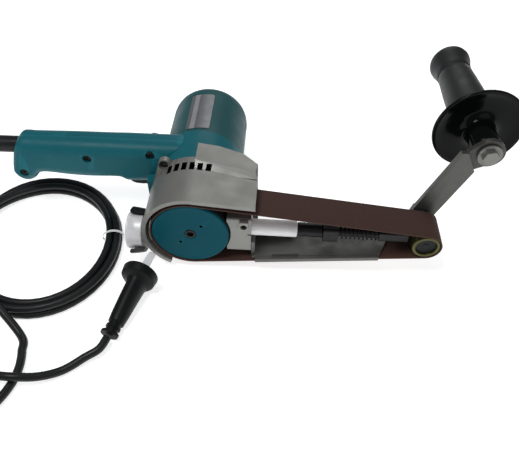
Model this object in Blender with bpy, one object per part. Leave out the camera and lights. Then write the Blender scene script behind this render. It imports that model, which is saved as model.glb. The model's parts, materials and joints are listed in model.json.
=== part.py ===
"""Belt grinder with a swinging belt arm, a front side grip and a coiled mains lead.

Built in millimetres and stored in metres. X runs along the belt arm to its tip,
Y runs along the motor and pulley axis, Z is up. The pulley axis passes through X = 0, Z = 0.
"""
import math

import bmesh
import bpy
from mathutils import Matrix, Vector

MM = 0.001
GAP = 0.3

# Facets round a full turn
BIG = 32
MID = 20
SMALL = 12
TINY = 8
GUARD_STEPS = 18
WHEEL_STEPS = 28
ROLLER_STEPS = 14
STRAP_STEPS = 8
TAB_STEPS = 12
FEWEST_FACES = 5

# Belt and arm
BELT_WIDTH = 30.0
BELT_THICK = 1.0
BELT_FRONT = -1.0
TYRE_RADIUS = 32.3
ROLLER_RADIUS = 11.6
CENTRES = 193.7
ARM_TILT = math.radians(1.48)
ARM_Y = 13.0
TUBE_RADIUS = 6.9
ROD_RADIUS = 4.0
ROD_BORE = 4.4

# Casting
GUARD_RADIUS = 40.0
GUARD_WALL = 3.4
GUARD_FRONT = -2.0
WALL_FRONT = 34.6
WALL_BACK = 38.2
SKIRT_BACK = 52.0
GUARD_END = 54.0
LUG_FRONT = 46.2

# Motor and gears
BARREL_RADIUS = 36.6
BARREL_FRONT = 92.3
BARREL_END = 166.2
BARREL_BORE = 33.2
BRUSH_Y = 146.0
COLLAR_RADIUS = 38.0
GEAR_OFFSET = 18.0

# Handle
HANDLE_Y = 79.0
END_LEAN = 0.335
LEAN_FROM = 3.3
LEAN_STOP = -145.0
LEAN_RUN = 27.0
CORD_Z = 25.6
TABLE = -40.0

# Side grip
STRAP_ANGLE = math.radians(67.3)
BOLT_X = 234.0
BOLT_Y = 39.0
BOLT_Z = 62.0
GRIP_LEAN = math.radians(2.75)

# Mains lead
CORD_RADIUS = 3.3
COIL_X = -139.0
COIL_Y = 16.0
COIL_LONG = 74.0
COIL_SHORT = 64.0
COIL_TURN = math.radians(22.0)
COIL_HALF_WIDTH = 8.4
COIL_HALF_HEIGHT = 6.4

ARM = Matrix.Rotation(ARM_TILT, 4, "Y")

# from the pulley's centre to the middle of the tool's footprint on the table
BASE_SHIFT = Vector((-31.0, -86.8, -TABLE))


def clear_scene():
    for old in list(bpy.data.objects):
        bpy.data.objects.remove(old, do_unlink=True)


def make_material(name, colour, roughness, metallic):
    mat = bpy.data.materials.new(name)
    mat.use_nodes = True
    shader = mat.node_tree.nodes["Principled BSDF"]
    shader.inputs["Base Color"].default_value = (*colour, 1.0)
    shader.inputs["Roughness"].default_value = roughness
    shader.inputs["Metallic"].default_value = metallic
    return mat


LOOKS = {
    "teal": ((0.022, 0.115, 0.145), 0.42, 0.0),
    "cast": ((0.30, 0.30, 0.28), 0.45, 0.9),
    "silver": ((0.55, 0.56, 0.56), 0.3, 1.0),
    "steel": ((0.42, 0.42, 0.41), 0.32, 1.0),
    "dark_steel": ((0.05, 0.05, 0.055), 0.4, 0.8),
    "brass": ((0.42, 0.36, 0.16), 0.35, 1.0),
    "rubber": ((0.018, 0.018, 0.02), 0.75, 0.0),
    "black_plastic": ((0.02, 0.021, 0.021), 0.45, 0.0),
    "gloss_black": ((0.008, 0.01, 0.009), 0.16, 0.0),
    "grip": ((0.04, 0.043, 0.044), 0.6, 0.0),
    "belt": ((0.06, 0.026, 0.022), 0.9, 0.0),
    "copper": ((0.55, 0.24, 0.1), 0.4, 1.0),
    "label": ((0.2, 0.22, 0.235), 0.4, 0.3),
    "white": ((0.8, 0.8, 0.78), 0.5, 0.0),
    "carbon": ((0.03, 0.03, 0.03), 0.7, 0.1),
    "cavity": ((0.01, 0.01, 0.01), 0.9, 0.0),
}


def finish(name, bm, look, place=None, smooth=True):
    """Turn a bmesh in millimetres into a named object in metres."""
    bmesh.ops.remove_doubles(bm, verts=bm.verts, dist=0.0005)
    bmesh.ops.recalc_face_normals(bm, faces=bm.faces)
    if place is not None:
        bm.transform(place)
    bm.transform(Matrix.Scale(MM, 4))
    mesh = bpy.data.meshes.new(name)
    bm.to_mesh(mesh)
    bm.free()
    obj = bpy.data.objects.new(name, mesh)
    bpy.context.scene.collection.objects.link(obj)
    colour, roughness, metallic = LOOKS[look]
    mesh.materials.append(make_material(name + "_look", colour, roughness, metallic))
    if smooth:
        for face in mesh.polygons:
            face.use_smooth = True
    return obj


def along_y(x, z):
    """Local Z becomes +Y, local X stays X, through the point x, z."""
    return Matrix(((1, 0, 0, x), (0, 0, 1, 0), (0, -1, 0, z), (0, 0, 0, 1)))


def along_x(y, z):
    """Local Z becomes +X, through the point y, z."""
    return Matrix(((0, 0, 1, 0), (1, 0, 0, y), (0, 1, 0, z), (0, 0, 0, 1)))


def turned(name, profile, look, place, steps=MID, ring=False):
    """Turn (radius, height) pairs about local Z; a ring closes back on its first pair."""
    bm = bmesh.new()
    rows = []
    for radius, height in profile:
        if radius < 1e-6:
            rows.append([bm.verts.new((0, 0, height))])
            continue
        row = []
        for step in range(steps):
            angle = 2 * math.pi * step / steps
            row.append(bm.verts.new((radius * math.cos(angle), radius * math.sin(angle), height)))
        rows.append(row)
    pairs = list(zip(rows, rows[1:]))
    if ring:
        pairs.append((rows[-1], rows[0]))
    for low, high in pairs:
        join_rows(bm, low, high, steps)
    return finish(name, bm, look, place)


def join_rows(bm, low, high, steps):
    for step in range(steps):
        after = (step + 1) % steps
        if len(low) == 1 and len(high) == 1:
            return
        if len(low) == 1:
            bm.faces.new((low[0], high[step], high[after]))
        elif len(high) == 1:
            bm.faces.new((low[step], low[after], high[0]))
        else:
            bm.faces.new((low[step], low[after], high[after], high[step]))


def slab(name, outline, low, high, look, place=None):
    """Push an X, Z outline through Y from low to high."""
    bm = bmesh.new()
    front = [bm.verts.new((x, low, z)) for x, z in outline]
    back = [bm.verts.new((x, high, z)) for x, z in outline]
    bm.faces.new(front)
    bm.faces.new(list(reversed(back)))
    count = len(outline)
    for i in range(count):
        j = (i + 1) % count
        bm.faces.new((front[i], front[j], back[j], back[i]))
    return finish(name, bm, look, place, smooth=False)


def loft(name, sections, look, place=None, smooth=True):
    """Join equal-length rings of points and cap both ends."""
    bm = bmesh.new()
    rows = [[bm.verts.new(point) for point in section] for section in sections]
    count = len(rows[0])
    for low, high in zip(rows, rows[1:]):
        for i in range(count):
            j = (i + 1) % count
            bm.faces.new((low[i], low[j], high[j], high[i]))
    bm.faces.new(list(reversed(rows[0])))
    bm.faces.new(rows[-1])
    return finish(name, bm, look, place, smooth)


def hull(name, points, look, place=None):
    bm = bmesh.new()
    for point in points:
        bm.verts.new(point)
    bmesh.ops.convex_hull(bm, input=bm.verts)
    loose = [v for v in bm.verts if not v.link_faces]
    bmesh.ops.delete(bm, geom=loose, context="VERTS")
    return finish(name, bm, look, place, smooth=False)


def block(name, xs, ys, zs, look, place=None):
    points = [(x, y, z) for x in xs for y in ys for z in zs]
    return hull(name, points, look, place)


def rounded_box(name, xs, ys, zs, radius, look, place=None, steps=3):
    """A box whose edges along X are rounded."""
    section = round_rect(ys[0], ys[1], zs[0], zs[1], radius, steps)
    return loft(name, [[(x, y, z) for y, z in section] for x in xs], look, place, smooth=False)


def round_rect(a0, a1, b0, b1, radius, steps=3):
    """Rounded rectangle as (a, b) points, counter-clockwise."""
    points = []
    corners = ((a1 - radius, b1 - radius, 0), (a0 + radius, b1 - radius, 90),
               (a0 + radius, b0 + radius, 180), (a1 - radius, b0 + radius, 270))
    for ca, cb, start in corners:
        for step in range(steps + 1):
            angle = math.radians(start + 90 * step / steps)
            points.append((ca + radius * math.cos(angle), cb + radius * math.sin(angle)))
    return points


def arc(cx, cz, radius, start, stop, steps):
    """Points on an arc in X, Z; angles in degrees from +X towards +Z."""
    points = []
    for step in range(steps + 1):
        angle = math.radians(start + (stop - start) * step / steps)
        points.append((cx + radius * math.cos(angle), cz + radius * math.sin(angle)))
    return points


def is_sound(mesh):
    """A closed surface that holds more than a sliver left by a failed solve."""
    bm = bmesh.new()
    bm.from_mesh(mesh)
    closed = all(len(edge.link_faces) == 2 for edge in bm.edges)
    holds = len(bm.faces) > FEWEST_FACES
    bm.free()
    return closed and holds


def apply_boolean(target, tool, operation):
    """Apply one Boolean; the MANIFOLD solver is only used where EXACT leaves a hole."""
    change = target.modifiers.new("change", "BOOLEAN")
    change.operation = operation
    change.object = tool
    for solver in ("EXACT", "MANIFOLD"):
        change.solver = solver
        graph = bpy.context.evaluated_depsgraph_get()
        result = bpy.data.meshes.new_from_object(target.evaluated_get(graph))
        if is_sound(result):
            break
    old = target.data
    target.modifiers.remove(change)
    target.data = result
    result.name = target.name
    while len(result.materials) > 1:
        result.materials.pop()
    bpy.data.meshes.remove(old)
    bpy.data.objects.remove(tool, do_unlink=True)


def cut(target, *tools):
    for tool in tools:
        apply_boolean(target, tool, "DIFFERENCE")
    return target


def add(target, *tools):
    for tool in tools:
        apply_boolean(target, tool, "UNION")
    return target


def keep(target, tool):
    apply_boolean(target, tool, "INTERSECT")
    return target


def clean(target):
    """Merge the tiny slivers a boolean leaves and face everything outwards."""
    bm = bmesh.new()
    bm.from_mesh(target.data)
    bmesh.ops.remove_doubles(bm, verts=bm.verts, dist=0.0000002)
    bmesh.ops.recalc_face_normals(bm, faces=bm.faces)
    bm.to_mesh(target.data)
    bm.free()
    return target


def set_origin(target, point):
    """Move the origin to a point in millimetres without moving the surface."""
    where = Vector(point) * MM
    target.data.transform(Matrix.Translation(-where))
    target.location = where
    return target


def rod_y(name, radius, low, high, look, x=0.0, z=0.0, steps=SMALL, place=None):
    spot = along_y(x, z)
    if place is not None:
        spot = place @ spot
    return turned(name, [(0, low), (radius, low), (radius, high), (0, high)], look, spot, steps)


def rod_x(name, radius, low, high, look, y=0.0, z=0.0, steps=SMALL, place=None):
    spot = along_x(y, z)
    if place is not None:
        spot = place @ spot
    return turned(name, [(0, low), (radius, low), (radius, high), (0, high)], look, spot, steps)


def tube_y(name, inner, outer, low, high, look, x=0.0, z=0.0, steps=MID, place=None):
    spot = along_y(x, z)
    if place is not None:
        spot = place @ spot
    profile = [(inner, low), (outer, low), (outer, high), (inner, high)]
    return turned(name, profile, look, spot, steps, ring=True)


def gear_outline(root, tip, teeth, spin=0.0):
    points = []
    for tooth in range(teeth):
        for part, radius in ((0.1, root), (0.35, tip), (0.6, tip), (0.85, root)):
            angle = 2 * math.pi * (tooth + part) / teeth + spin
            points.append((radius * math.cos(angle), radius * math.sin(angle)))
    return points


def shifted(points, dx, dz):
    return [(x + dx, z + dz) for x, z in points]


# ---------------------------------------------------------------- casting

def guard_outline(radius, end, drop, lift=0.0):
    """Round the pulley on the left and run level-ish to the right end."""
    points = [(end, radius - drop + lift)]
    points += arc(0, 0, radius, 84, 240, GUARD_STEPS)
    return points


def cavity_outline():
    inside = GUARD_RADIUS - GUARD_WALL
    return guard_outline(inside, 90, 9.5) + [(-34, -62), (90, -62)]


def build_casting():
    outer = guard_outline(GUARD_RADIUS, GUARD_END, 5.6)
    outer += [(8, -31), (46, -25), (GUARD_END, -17)]
    casting = slab("gear_casting", outer, GUARD_FRONT, WALL_BACK, "cast")
    cut(casting, slab("cavity", cavity_outline(), -10, WALL_FRONT, "cast"))
    add(casting, rod_y("disc", GUARD_RADIUS - 0.4, WALL_FRONT + 0.3, SKIRT_BACK, "cast", steps=BIG))
    add(casting, build_crest())
    add(casting, rod_y("lug", 5.4, LUG_FRONT, SKIRT_BACK - 0.5, "cast", x=-24.9, z=34.1, steps=SMALL))
    gusset = [(-30.0, 35.0), (-38.6, 9.0), (-25.0, 22.0), (-20.0, 32.0)]
    add(casting, slab("gusset", gusset, 44.0, SKIRT_BACK - 0.6, "cast"))
    add(casting, rod_y("foot", 5.0, 44.5, SKIRT_BACK - 0.7, "cast", x=-34.0, z=-21.0, steps=SMALL))
    cut(casting, rod_y("gear_room", 35.9, WALL_BACK, 80, "cavity", steps=BIG))
    add(casting, rod_y("boss", 13.0, 30.8, 45.0, "cast", steps=MID))
    cut(casting, rod_y("bearing_bore", 10.8, 35.7, 50, "cast", steps=MID))
    cut(casting, rod_y("spindle_bore", 5.8, 20, 40, "cast", steps=SMALL))
    cut(casting, rod_y("screw_room", 3.9, 40.0, 50.1, "cast", x=-25.4, z=34.8, steps=SMALL))
    add_port_boss(casting)
    cut_vents(casting)
    return clean(casting)


def build_crest():
    """The raised crest over the gears, with its sloped front and its curved rear edge."""
    points = [(2, 35, 38), (2, 44, 43.6), (2, 66, 43.6), (2, 66, 34), (2, 35, 33),
              (20, 63.5, 42.6), (20, 63.5, 34), (41, 57, 40.4), (41, 57, 30),
              (54, 31, 35.2), (52, 37, 38.2), (53.7, 46.5, 38.2), (53.7, 46.5, 28), (54, 31, 28)]
    crest = hull("crest", points, "cast")
    cut(crest, rod_y("collar_room", COLLAR_RADIUS + 0.5, SKIRT_BACK - 0.2, 80, "cast", steps=BIG))
    cut(crest, slab("belt_room", cavity_outline(), -10, WALL_FRONT, "cast"))
    return crest


PORT_Y = 15.0
PORT_Z = -13.0
PORT_ROOT = -42.0
LATCH_MIDDLE = 50.0
LATCH_REACH = 27.0
LATCH_STEPS = 6


def add_port_boss(casting):
    boss = rod_x("port_boss", 15.0, PORT_ROOT, -30.0, "cast", PORT_Y, PORT_Z, steps=MID)
    cut(boss, rod_y("pulley_space", GUARD_RADIUS - 1.5, -30, 60, "cast", steps=BIG))
    add(casting, boss)
    cut(casting, rod_x("port_bore", 11.6, -60, -20, "cast", PORT_Y, PORT_Z, steps=MID))


def cut_vents(casting):
    """Six slots in a row; the last two are on the crest's slope and are shallower."""
    for index, back in enumerate((45.2, 45.2, 45.2, 45.2, 41.4, 41.0)):
        angle = math.radians(119.7 - 9.7 * index)
        spin = Matrix.Rotation(-(angle - math.pi / 2), 4, "Y")
        vent = block("vent", (-2.2, 2.2), (35.4, back), (34.0, 46.0), "cavity", spin)
        cut(casting, vent)


def build_dust_port():
    profile = [(9.4, -37.0), (11.3, -37.0), (11.3, PORT_ROOT - GAP), (14.6, PORT_ROOT - GAP),
               (14.6, -47.0), (15.6, -51.5), (16.4, -54.6), (15.0, -55.5), (13.0, -54.6), (11.2, -44.0)]
    turned("dust_port", profile, "silver", along_x(PORT_Y, PORT_Z), MID, ring=True)
    build_latch("port_latch_top", LATCH_MIDDLE)
    build_latch("port_latch_bottom", LATCH_MIDDLE + 180.0)


def build_latch(name, middle):
    """A curved clip over the joint between the port and the casting."""
    ring = ((-52.6, 17.2), (-53.0, 20.4), (-49.0, 20.0), (-40.8, 18.6), (-40.8, 15.4), (-47.0, 15.7))
    sections = []
    for step in range(LATCH_STEPS + 1):
        angle = math.radians(middle + LATCH_REACH * (2 * step / LATCH_STEPS - 1))
        cos, sin = math.cos(angle), math.sin(angle)
        sections.append([(x, PORT_Y + r * cos, PORT_Z + r * sin) for x, r in ring])
    loft(name, sections, "black_plastic", smooth=False)


def build_casting_screw():
    face = LUG_FRONT + 1.0
    profile = [(0, face), (3.4, face), (3.6, face + 0.4), (3.6, 49.8), (0, 49.8)]
    screw = turned("casting_screw", profile, "dark_steel", along_y(-25.4, 34.8), TINY)
    cut(screw, block("slot", (-28.4, -22.4), (45, face + 0.9), (34.3, 35.3), "steel"))
    clean(screw)


# ---------------------------------------------------------------- motor and gears

def build_collar():
    profile = [(34.0, 52.3), (36.6, 52.3), (COLLAR_RADIUS, 53.4), (COLLAR_RADIUS, 90.6),
               (37.0, 92.0), (34.0, 92.0)]
    collar = turned("motor_collar", profile, "teal", along_y(0, 0), BIG, ring=True)
    heel = block("heel", (-44.6, -28.0), (53.0, 63.4), (-21.0, 9.0), "teal")
    cut(heel, rod_y("heel_room", 35.5, 40, 80, "teal", steps=BIG))
    add(collar, heel)
    return clean(collar)


def build_housing():
    profile = [(BARREL_BORE, BARREL_FRONT), (BARREL_RADIUS, BARREL_FRONT), (BARREL_RADIUS, 152.0),
               (36.2, 157.0), (35.2, 161.0), (33.2, 164.0), (30.0, 165.6), (26.0, BARREL_END),
               (0, BARREL_END), (0, 158.8), (9.3, 158.8), (9.3, 152.4), (12.0, 152.4), (12.0, 158.8),
               (26.0, 158.8), (BARREL_BORE, 151.0)]
    housing = turned("motor_housing", profile, "teal", along_y(0, 0), BIG, ring=True)
    for side in (-1, 1):
        near, far = sorted((side * 30.0, side * 35.2))
        pad = rod_x("brush_pad", 8.6, near, far, "teal", BRUSH_Y, 0.0, steps=SMALL)
        cut(pad, rod_y("pad_room", 34.6, 120, 170, "teal", steps=BIG))
        add(housing, pad)
    cut(housing, rod_x("brush_hole", 6.3, -60, 60, "teal", BRUSH_Y, 0.0, steps=SMALL))
    cut_end_vents(housing)
    clean(housing)
    return housing


def cut_end_vents(housing):
    for row, reach in enumerate((18.0, 22.0, 24.0, 22.0, 18.0)):
        z = -16.0 + 8.0 * row
        for side in (-1, 1):
            near, far = sorted((side * 14.0, side * reach))
            slot = block("slot", (near, far), (157, 170), (z - 1.4, z + 1.4), "teal")
            cut(housing, slot)


def build_motor():
    tube_y("field_core", 20.6, 32.6, 93.5, 131.0, "steel")
    shaft = turned("armature", [(0, 53.0), (4.0, 53.0), (4.0, 86.0), (5.0, 86.0), (5.0, 88.0),
                                (15.0, 89.0), (17.5, 92.0), (19.8, 93.8), (19.8, 130.8),
                                (17.0, 133.0), (13.0, 135.5), (5.0, 136.0), (5.0, 152.0),
                                (4.0, 152.4), (4.0, 157.6), (0, 157.6)], "dark_steel", along_y(0, 0), MID)
    pinion = slab("pinion", gear_outline(4.6, 5.7, 12), 53.4, 57.6, "steel")
    add(shaft, pinion)
    clean(shaft)
    tube_y("commutator", 5.3, 11.6, 138.0, 151.0, "copper", steps=MID)
    build_fan()
    tube_y("motor_bearing_rear", 4.3, 9.0, 152.8, 158.2, "steel", steps=SMALL)
    tube_y("motor_bearing_front", 4.3, 10.0, 60.4, 65.6, "steel", steps=SMALL)
    plate = tube_y("bearing_plate", 10.3, 33.6, 60.2, 65.8, "cast", steps=BIG)
    cut(plate, rod_y("counter_hole", 3.4, 55, 70, "cast", x=0, z=-GEAR_OFFSET, steps=SMALL))
    for angle in (30, 90, 150):
        x = 22 * math.cos(math.radians(angle))
        z = 22 * math.sin(math.radians(angle))
        cut(plate, rod_y("air_hole", 6.0, 55, 70, "cast", x=x, z=z, steps=TINY))
    clean(plate)
    for name, side in (("brush_left", -1), ("brush_right", 1)):
        near, far = sorted((side * 12.0, side * 30.0))
        block(name, (near, far), (142.5, 149.0), (-3.0, 3.0), "carbon")
    for name, side in (("brush_cap_left", -1), ("brush_cap_right", 1)):
        profile = [(0, 30.5), (5.2, 30.5), (6.0, 31.2), (6.0, 34.9), (5.4, 35.6), (0, 35.6)]
        spot = along_x(BRUSH_Y, 0.0)
        if side < 0:
            spot = Matrix.Rotation(math.pi, 4, "Z") @ along_x(-BRUSH_Y, 0.0)
        cap = turned(name, profile, "black_plastic", spot, SMALL)
        near, far = sorted((side * 34.6, side * 40.0))
        cut(cap, block("slot", (near, far), (141.6, 150.4), (-0.8, 0.8), "steel"))
        clean(cap)


def build_fan():
    fan = turned("motor_fan", [(4.3, 68.0), (8.5, 68.0), (8.5, 76.0), (30.5, 80.0), (30.5, 81.6),
                               (8.5, 80.0), (4.3, 80.0)], "black_plastic", along_y(0, 0), MID, ring=True)
    for blade in range(8):
        spin = Matrix.Rotation(2 * math.pi * blade / 8, 4, "Y")
        side = ((70.0, 8.0), (79.0, 8.0), (80.6, 29.6), (73.5, 29.6))
        corners = [(x, y, z) for x in (-0.8, 0.8) for y, z in side]
        add(fan, hull("blade", corners, "black_plastic", spin))
    clean(fan)


def build_countershaft():
    shaft = turned("countershaft", [(0, 45.6), (3.0, 45.6), (3.0, 64.5), (0, 64.5)],
                   "steel", along_y(0, -GEAR_OFFSET), TINY)
    small = shifted(gear_outline(5.8, 7.0, 14, 0.1), 0, -GEAR_OFFSET)
    large = shifted(gear_outline(10.6, 12.0, 24, 0.1), 0, -GEAR_OFFSET)
    add(shaft, slab("small", small, 46.0, 51.4, "steel"))
    add(shaft, slab("large", large, 53.0, 58.0, "steel"))
    clean(shaft)
    set_origin(shaft, (0, 52, -GEAR_OFFSET))


def build_drive():
    spindle = turned("spindle", [(0, 13.0), (3.3, 13.0), (3.3, 3.2), (5.0, 3.2), (5.0, 51.8), (0, 51.8)],
                     "steel", along_y(0, 0), SMALL)
    add(spindle, slab("gear", gear_outline(9.4, 10.6, 21, 0.05), 45.6, 51.4, "steel"))
    clean(spindle)
    tube_y("spindle_bearing", 5.3, 10.5, 36.2, 44.2, "steel")
    turned("pulley_hub", [(5.3, 4.0), (9.5, 4.0), (9.5, 10.0), (25.0, 10.0), (25.0, 3.0), (29.5, 3.0),
                          (29.5, 28.5), (25.0, 28.5), (25.0, 16.0), (9.5, 16.0), (9.5, 28.5),
                          (5.3, 28.5)], "cast", along_y(0, 0), 24, ring=True)
    turned("pulley_tyre", [(29.8, 2.8), (31.6, 2.8), (TYRE_RADIUS, 3.8), (TYRE_RADIUS, 27.8),
                           (31.6, 28.8), (29.8, 28.8)], "rubber", along_y(0, 0), BIG, ring=True)
    cover = turned("pulley_cover", [(5.6, 0.25), (28.6, 0.25), (29.2, -0.1), (30.6, -0.1), (31.8, 0.8),
                                    (31.8, 2.2), (3.5, 2.2), (3.5, 1.9)], "teal", along_y(0, 0), BIG,
                   ring=True)
    for x, z in ((9.6, 9.6), (-8.8, -9.4)):
        cut(cover, rod_y("pin_hole", 1.3, -3, 5, "teal", x=x, z=z, steps=TINY))
    clean(cover)
    screw = turned("pulley_screw", [(0, 0.3), (4.2, 0.3), (4.6, 0.6), (2.9, 2.3), (2.9, 12.4), (0, 12.4)],
                   "dark_steel", along_y(0, 0), SMALL)
    socket = arc(0, 0, 3.2, 0, 300, 5)
    cut(screw, slab("socket", socket, -2, 2.6, "steel"))
    clean(screw)


# ---------------------------------------------------------------- belt arm

def band_loop(offset):
    """Loop round pulley and roller, offset outwards from the bare wheels."""
    big = TYRE_RADIUS + offset
    small = ROLLER_RADIUS + offset
    lean = math.degrees(math.asin((big - small) / CENTRES))
    loop = arc(0, 0, big, 90 - lean, 270 + lean, WHEEL_STEPS)
    end = arc(CENTRES, 0, small, -90 + lean, 90 - lean, ROLLER_STEPS)
    low_start, low_stop = loop[-1], end[0]
    high_start, high_stop = end[-1], loop[0]
    low = [mix(low_start, low_stop, k / 4) for k in range(1, 4)]
    high = [mix(high_start, high_stop, k / 4) for k in range(1, 4)]
    return loop + low + end + high


def mix(a, b, t):
    return tuple(p + (q - p) * t for p, q in zip(a, b))


def build_belt():
    inner = band_loop(GAP)
    outer = band_loop(GAP + BELT_THICK)
    bm = bmesh.new()
    back = BELT_FRONT + BELT_WIDTH
    loops = []
    for loop, y in ((outer, BELT_FRONT), (outer, back), (inner, back), (inner, BELT_FRONT)):
        loops.append([bm.verts.new((x, y, z)) for x, z in loop])
    count = len(inner)
    for a, b in zip(loops, loops[1:] + loops[:1]):
        for i in range(count):
            j = (i + 1) % count
            bm.faces.new((a[i], a[j], b[j], b[i]))
    finish("abrasive_belt", bm, "belt", ARM)


def build_holder():
    holder = rounded_box("arm_holder", (30.0, 50.0), (3.0, 31.5), (-20.0, 18.0), 2.0, "cast", ARM)
    plate = arc(0, 0, 19.0, 40, 320, 20) + [(50.0, -19.0), (50.0, 17.0)]
    add(holder, slab("plate", plate, 31.1, 34.2, "cast", ARM))
    cut(holder, rod_y("pivot_hole", 13.3, 25, 40, "cast", steps=MID))
    cut(holder, rod_y("pulley_space", TYRE_RADIUS + 0.9, -10, 31.5, "cast", steps=BIG))
    cut(holder, rod_x("tube_hole", TUBE_RADIUS + GAP, 40.0, 60.0, "cast", ARM_Y, 0.0, MID, ARM))
    cut(holder, rod_x("rod_hole", 5.2, 20.0, 60.0, "cast", ARM_Y, 0.0, TINY, ARM))
    lug = block("lug", (40.5, 47.5), (-1.0, 4.0), (7.6, 17.6), "cast", ARM)
    add(holder, lug)
    cut(holder, rod_y("screw_hole", 2.7, -5, 10.5, "cast", x=44, z=12.6, steps=TINY, place=ARM))
    slit = block("slit", (47.0, 60.0), (-5.0, 12.0), (-0.7, 0.7), "cast", ARM)
    cut(holder, slit)
    clean(holder)
    screw = rod_y("holder_screw", 2.4, 0.6, 10.0, "dark_steel", x=44, z=12.6, steps=TINY, place=ARM)
    socket = [(44 + x, 12.6 + z) for x, z in arc(0, 0, 1.4, 0, 300, 5)]
    cut(screw, slab("socket", socket, -2, 2.4, "steel", ARM))
    clean(screw)


def build_arm():
    tube = [(ROD_BORE, 41.0), (TUBE_RADIUS - 0.5, 41.0), (TUBE_RADIUS, 41.5), (TUBE_RADIUS, 87.2),
            (TUBE_RADIUS - 0.6, 88.0), (ROD_BORE, 88.0)]
    spot = ARM @ along_x(ARM_Y, 0.0)
    turned("arm_tube", tube, "silver", spot, MID, ring=True)
    sleeve = [(ROD_BORE, 88.3), (5.6, 88.3), (6.0, 88.8), (6.0, 108.6), (5.6, 109.0), (ROD_BORE, 109.0)]
    turned("arm_sleeve", sleeve, "dark_steel", spot, SMALL, ring=True)
    nut = rounded_box("tension_nut", (109.3, 121.8), (ARM_Y - 7.0, ARM_Y + 7.0), (-7.0, 7.0), 2.2,
                      "dark_steel", ARM)
    cut(nut, rod_x("bore", ROD_BORE, 100, 130, "steel", ARM_Y, 0.0, SMALL, ARM))
    clean(nut)
    build_spring()
    build_platen()
    build_fork()


def build_spring():
    turns = 9.0
    start, stop = 123.4, 155.2
    wire, mean = 0.8, 5.35
    per_turn = 9
    total = int(turns * per_turn)
    bm = bmesh.new()
    rows = []
    for step in range(total + 1):
        t = step / total
        angle = 2 * math.pi * turns * t
        x = start + (stop - start) * t
        centre = Vector((x, mean * math.cos(angle), mean * math.sin(angle)))
        radial = Vector((0, math.cos(angle), math.sin(angle)))
        along = Vector(((stop - start) / (2 * math.pi * turns), -mean * math.sin(angle),
                        mean * math.cos(angle))).normalized()
        side = along.cross(radial)
        row = []
        for k in range(5):
            a = 2 * math.pi * k / 5
            point = centre + wire * (math.cos(a) * radial + math.sin(a) * side)
            row.append(bm.verts.new((point.x, point.y + ARM_Y, point.z)))
        rows.append(row)
    for low, high in zip(rows, rows[1:]):
        join_rows(bm, low, high, 5)
    bm.faces.new(list(reversed(rows[0])))
    bm.faces.new(rows[-1])
    finish("tension_spring", bm, "dark_steel", ARM)


def build_platen():
    """The backing plate just above the lower belt run, its web, foot and front lip."""
    lean = math.asin((TYRE_RADIUS - ROLLER_RADIUS) / CENTRES)
    slope = math.tan(lean)
    under = TYRE_RADIUS / math.cos(lean) - GAP * 2

    def bottom(x):
        return -under + slope * x

    def strip(name, corners, low, high):
        points = [(x, y, bottom(x) + up) for x, y in corners for up in (low, high)]
        return hull(name, points, "steel", ARM)

    platen = strip("platen", ((51.0, 1.0), (51.0, 28.5), (158.0, 1.0), (170.0, 28.5)), 0.0, 2.2)
    web = [(x, y, z) for y in (25.9, 28.3) for x, z in ((51.6, bottom(51.6) + 1.0), (51.6, -9.6),
                                                       (92.0, bottom(92.0) + 1.0), (84.0, -11.0))]
    add(platen, hull("web", web, "steel", ARM))
    add(platen, block("foot", (50.4, 53.4), (4.0, 28.9), (bottom(52) + 0.5, -9.9), "steel", ARM))
    add(platen, strip("edge", ((68.0, 1.3), (68.0, 2.7), (90.0, 1.3), (90.0, 2.7)), 1.2, 4.6))
    add(platen, strip("bridge", ((54.0, -2.2), (54.0, 3.0), (157.0, -2.2), (157.0, 3.0)), 0.4, 1.9))
    add(platen, strip("lip", ((54.0, -2.4), (54.0, -1.4), (157.0, -2.4), (157.0, -1.4)), -1.9, 1.7))
    clean(platen)


def build_fork():
    fork = rounded_box("idler_fork", (156.0, 180.0), (ARM_Y - 5.0, ARM_Y + 5.0), (-4.6, 4.6), 1.4,
                       "dark_steel", ARM)
    add(fork, rod_x("rod", ROD_RADIUS, 60.0, 158.0, "dark_steel", ARM_Y, 0.0, TINY, ARM))
    add(fork, block("cross", (171.0, 179.0), (ARM_Y + 3.0, 34.6), (-4.2, 4.2), "dark_steel", ARM))
    side = [(169.0, -6.0), (178.0, -8.0)] + arc(CENTRES, 0, 9.0, -90, 90, 10) + [(178.0, 8.0), (169.0, 6.0)]
    add(fork, slab("side", side, 31.0, 35.0, "dark_steel", ARM))
    cut(fork, rod_y("axle_hole", 3.4, 25, 40, "steel", x=CENTRES, steps=SMALL, place=ARM))
    clean(fork)
    set_origin(fork, ARM @ Vector((CENTRES, ARM_Y, 0)))
    axle = [(0, 3.8), (2.7, 3.8), (3.1, 4.2), (3.1, 47.2), (2.7, 47.6), (0, 47.6)]
    axle_obj = turned("idler_axle", axle, "steel", ARM @ along_y(CENTRES, 0), SMALL)
    set_origin(axle_obj, ARM @ Vector((CENTRES, ARM_Y, 0)))
    roller = turned("idler_roller", [(8.6, -0.6), (10.9, -0.6), (ROLLER_RADIUS, 0.2),
                                     (ROLLER_RADIUS, 28.0), (10.9, 28.8), (3.5, 28.8), (3.5, 22.0),
                                     (8.6, 22.0)], "brass", ARM @ along_y(CENTRES, 0), MID, ring=True)
    cap = turned("idler_cap", [(0, 1.2), (8.2, 1.2), (8.2, 3.4), (0, 3.4)], "black_plastic",
                 ARM @ along_y(CENTRES, 0), SMALL)
    for piece in (roller, cap):
        set_origin(piece, ARM @ Vector((CENTRES, ARM_Y, 0)))


# ---------------------------------------------------------------- side grip

def strap_point(t, side):
    """A point t along the strap from its pivot and side across it, in X, Z."""
    pivot = ARM @ Vector((CENTRES, 0, 0))
    cos, sin = math.cos(STRAP_ANGLE), math.sin(STRAP_ANGLE)
    return (pivot.x + t * cos + side * sin, pivot.z + t * sin - side * cos)


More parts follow.
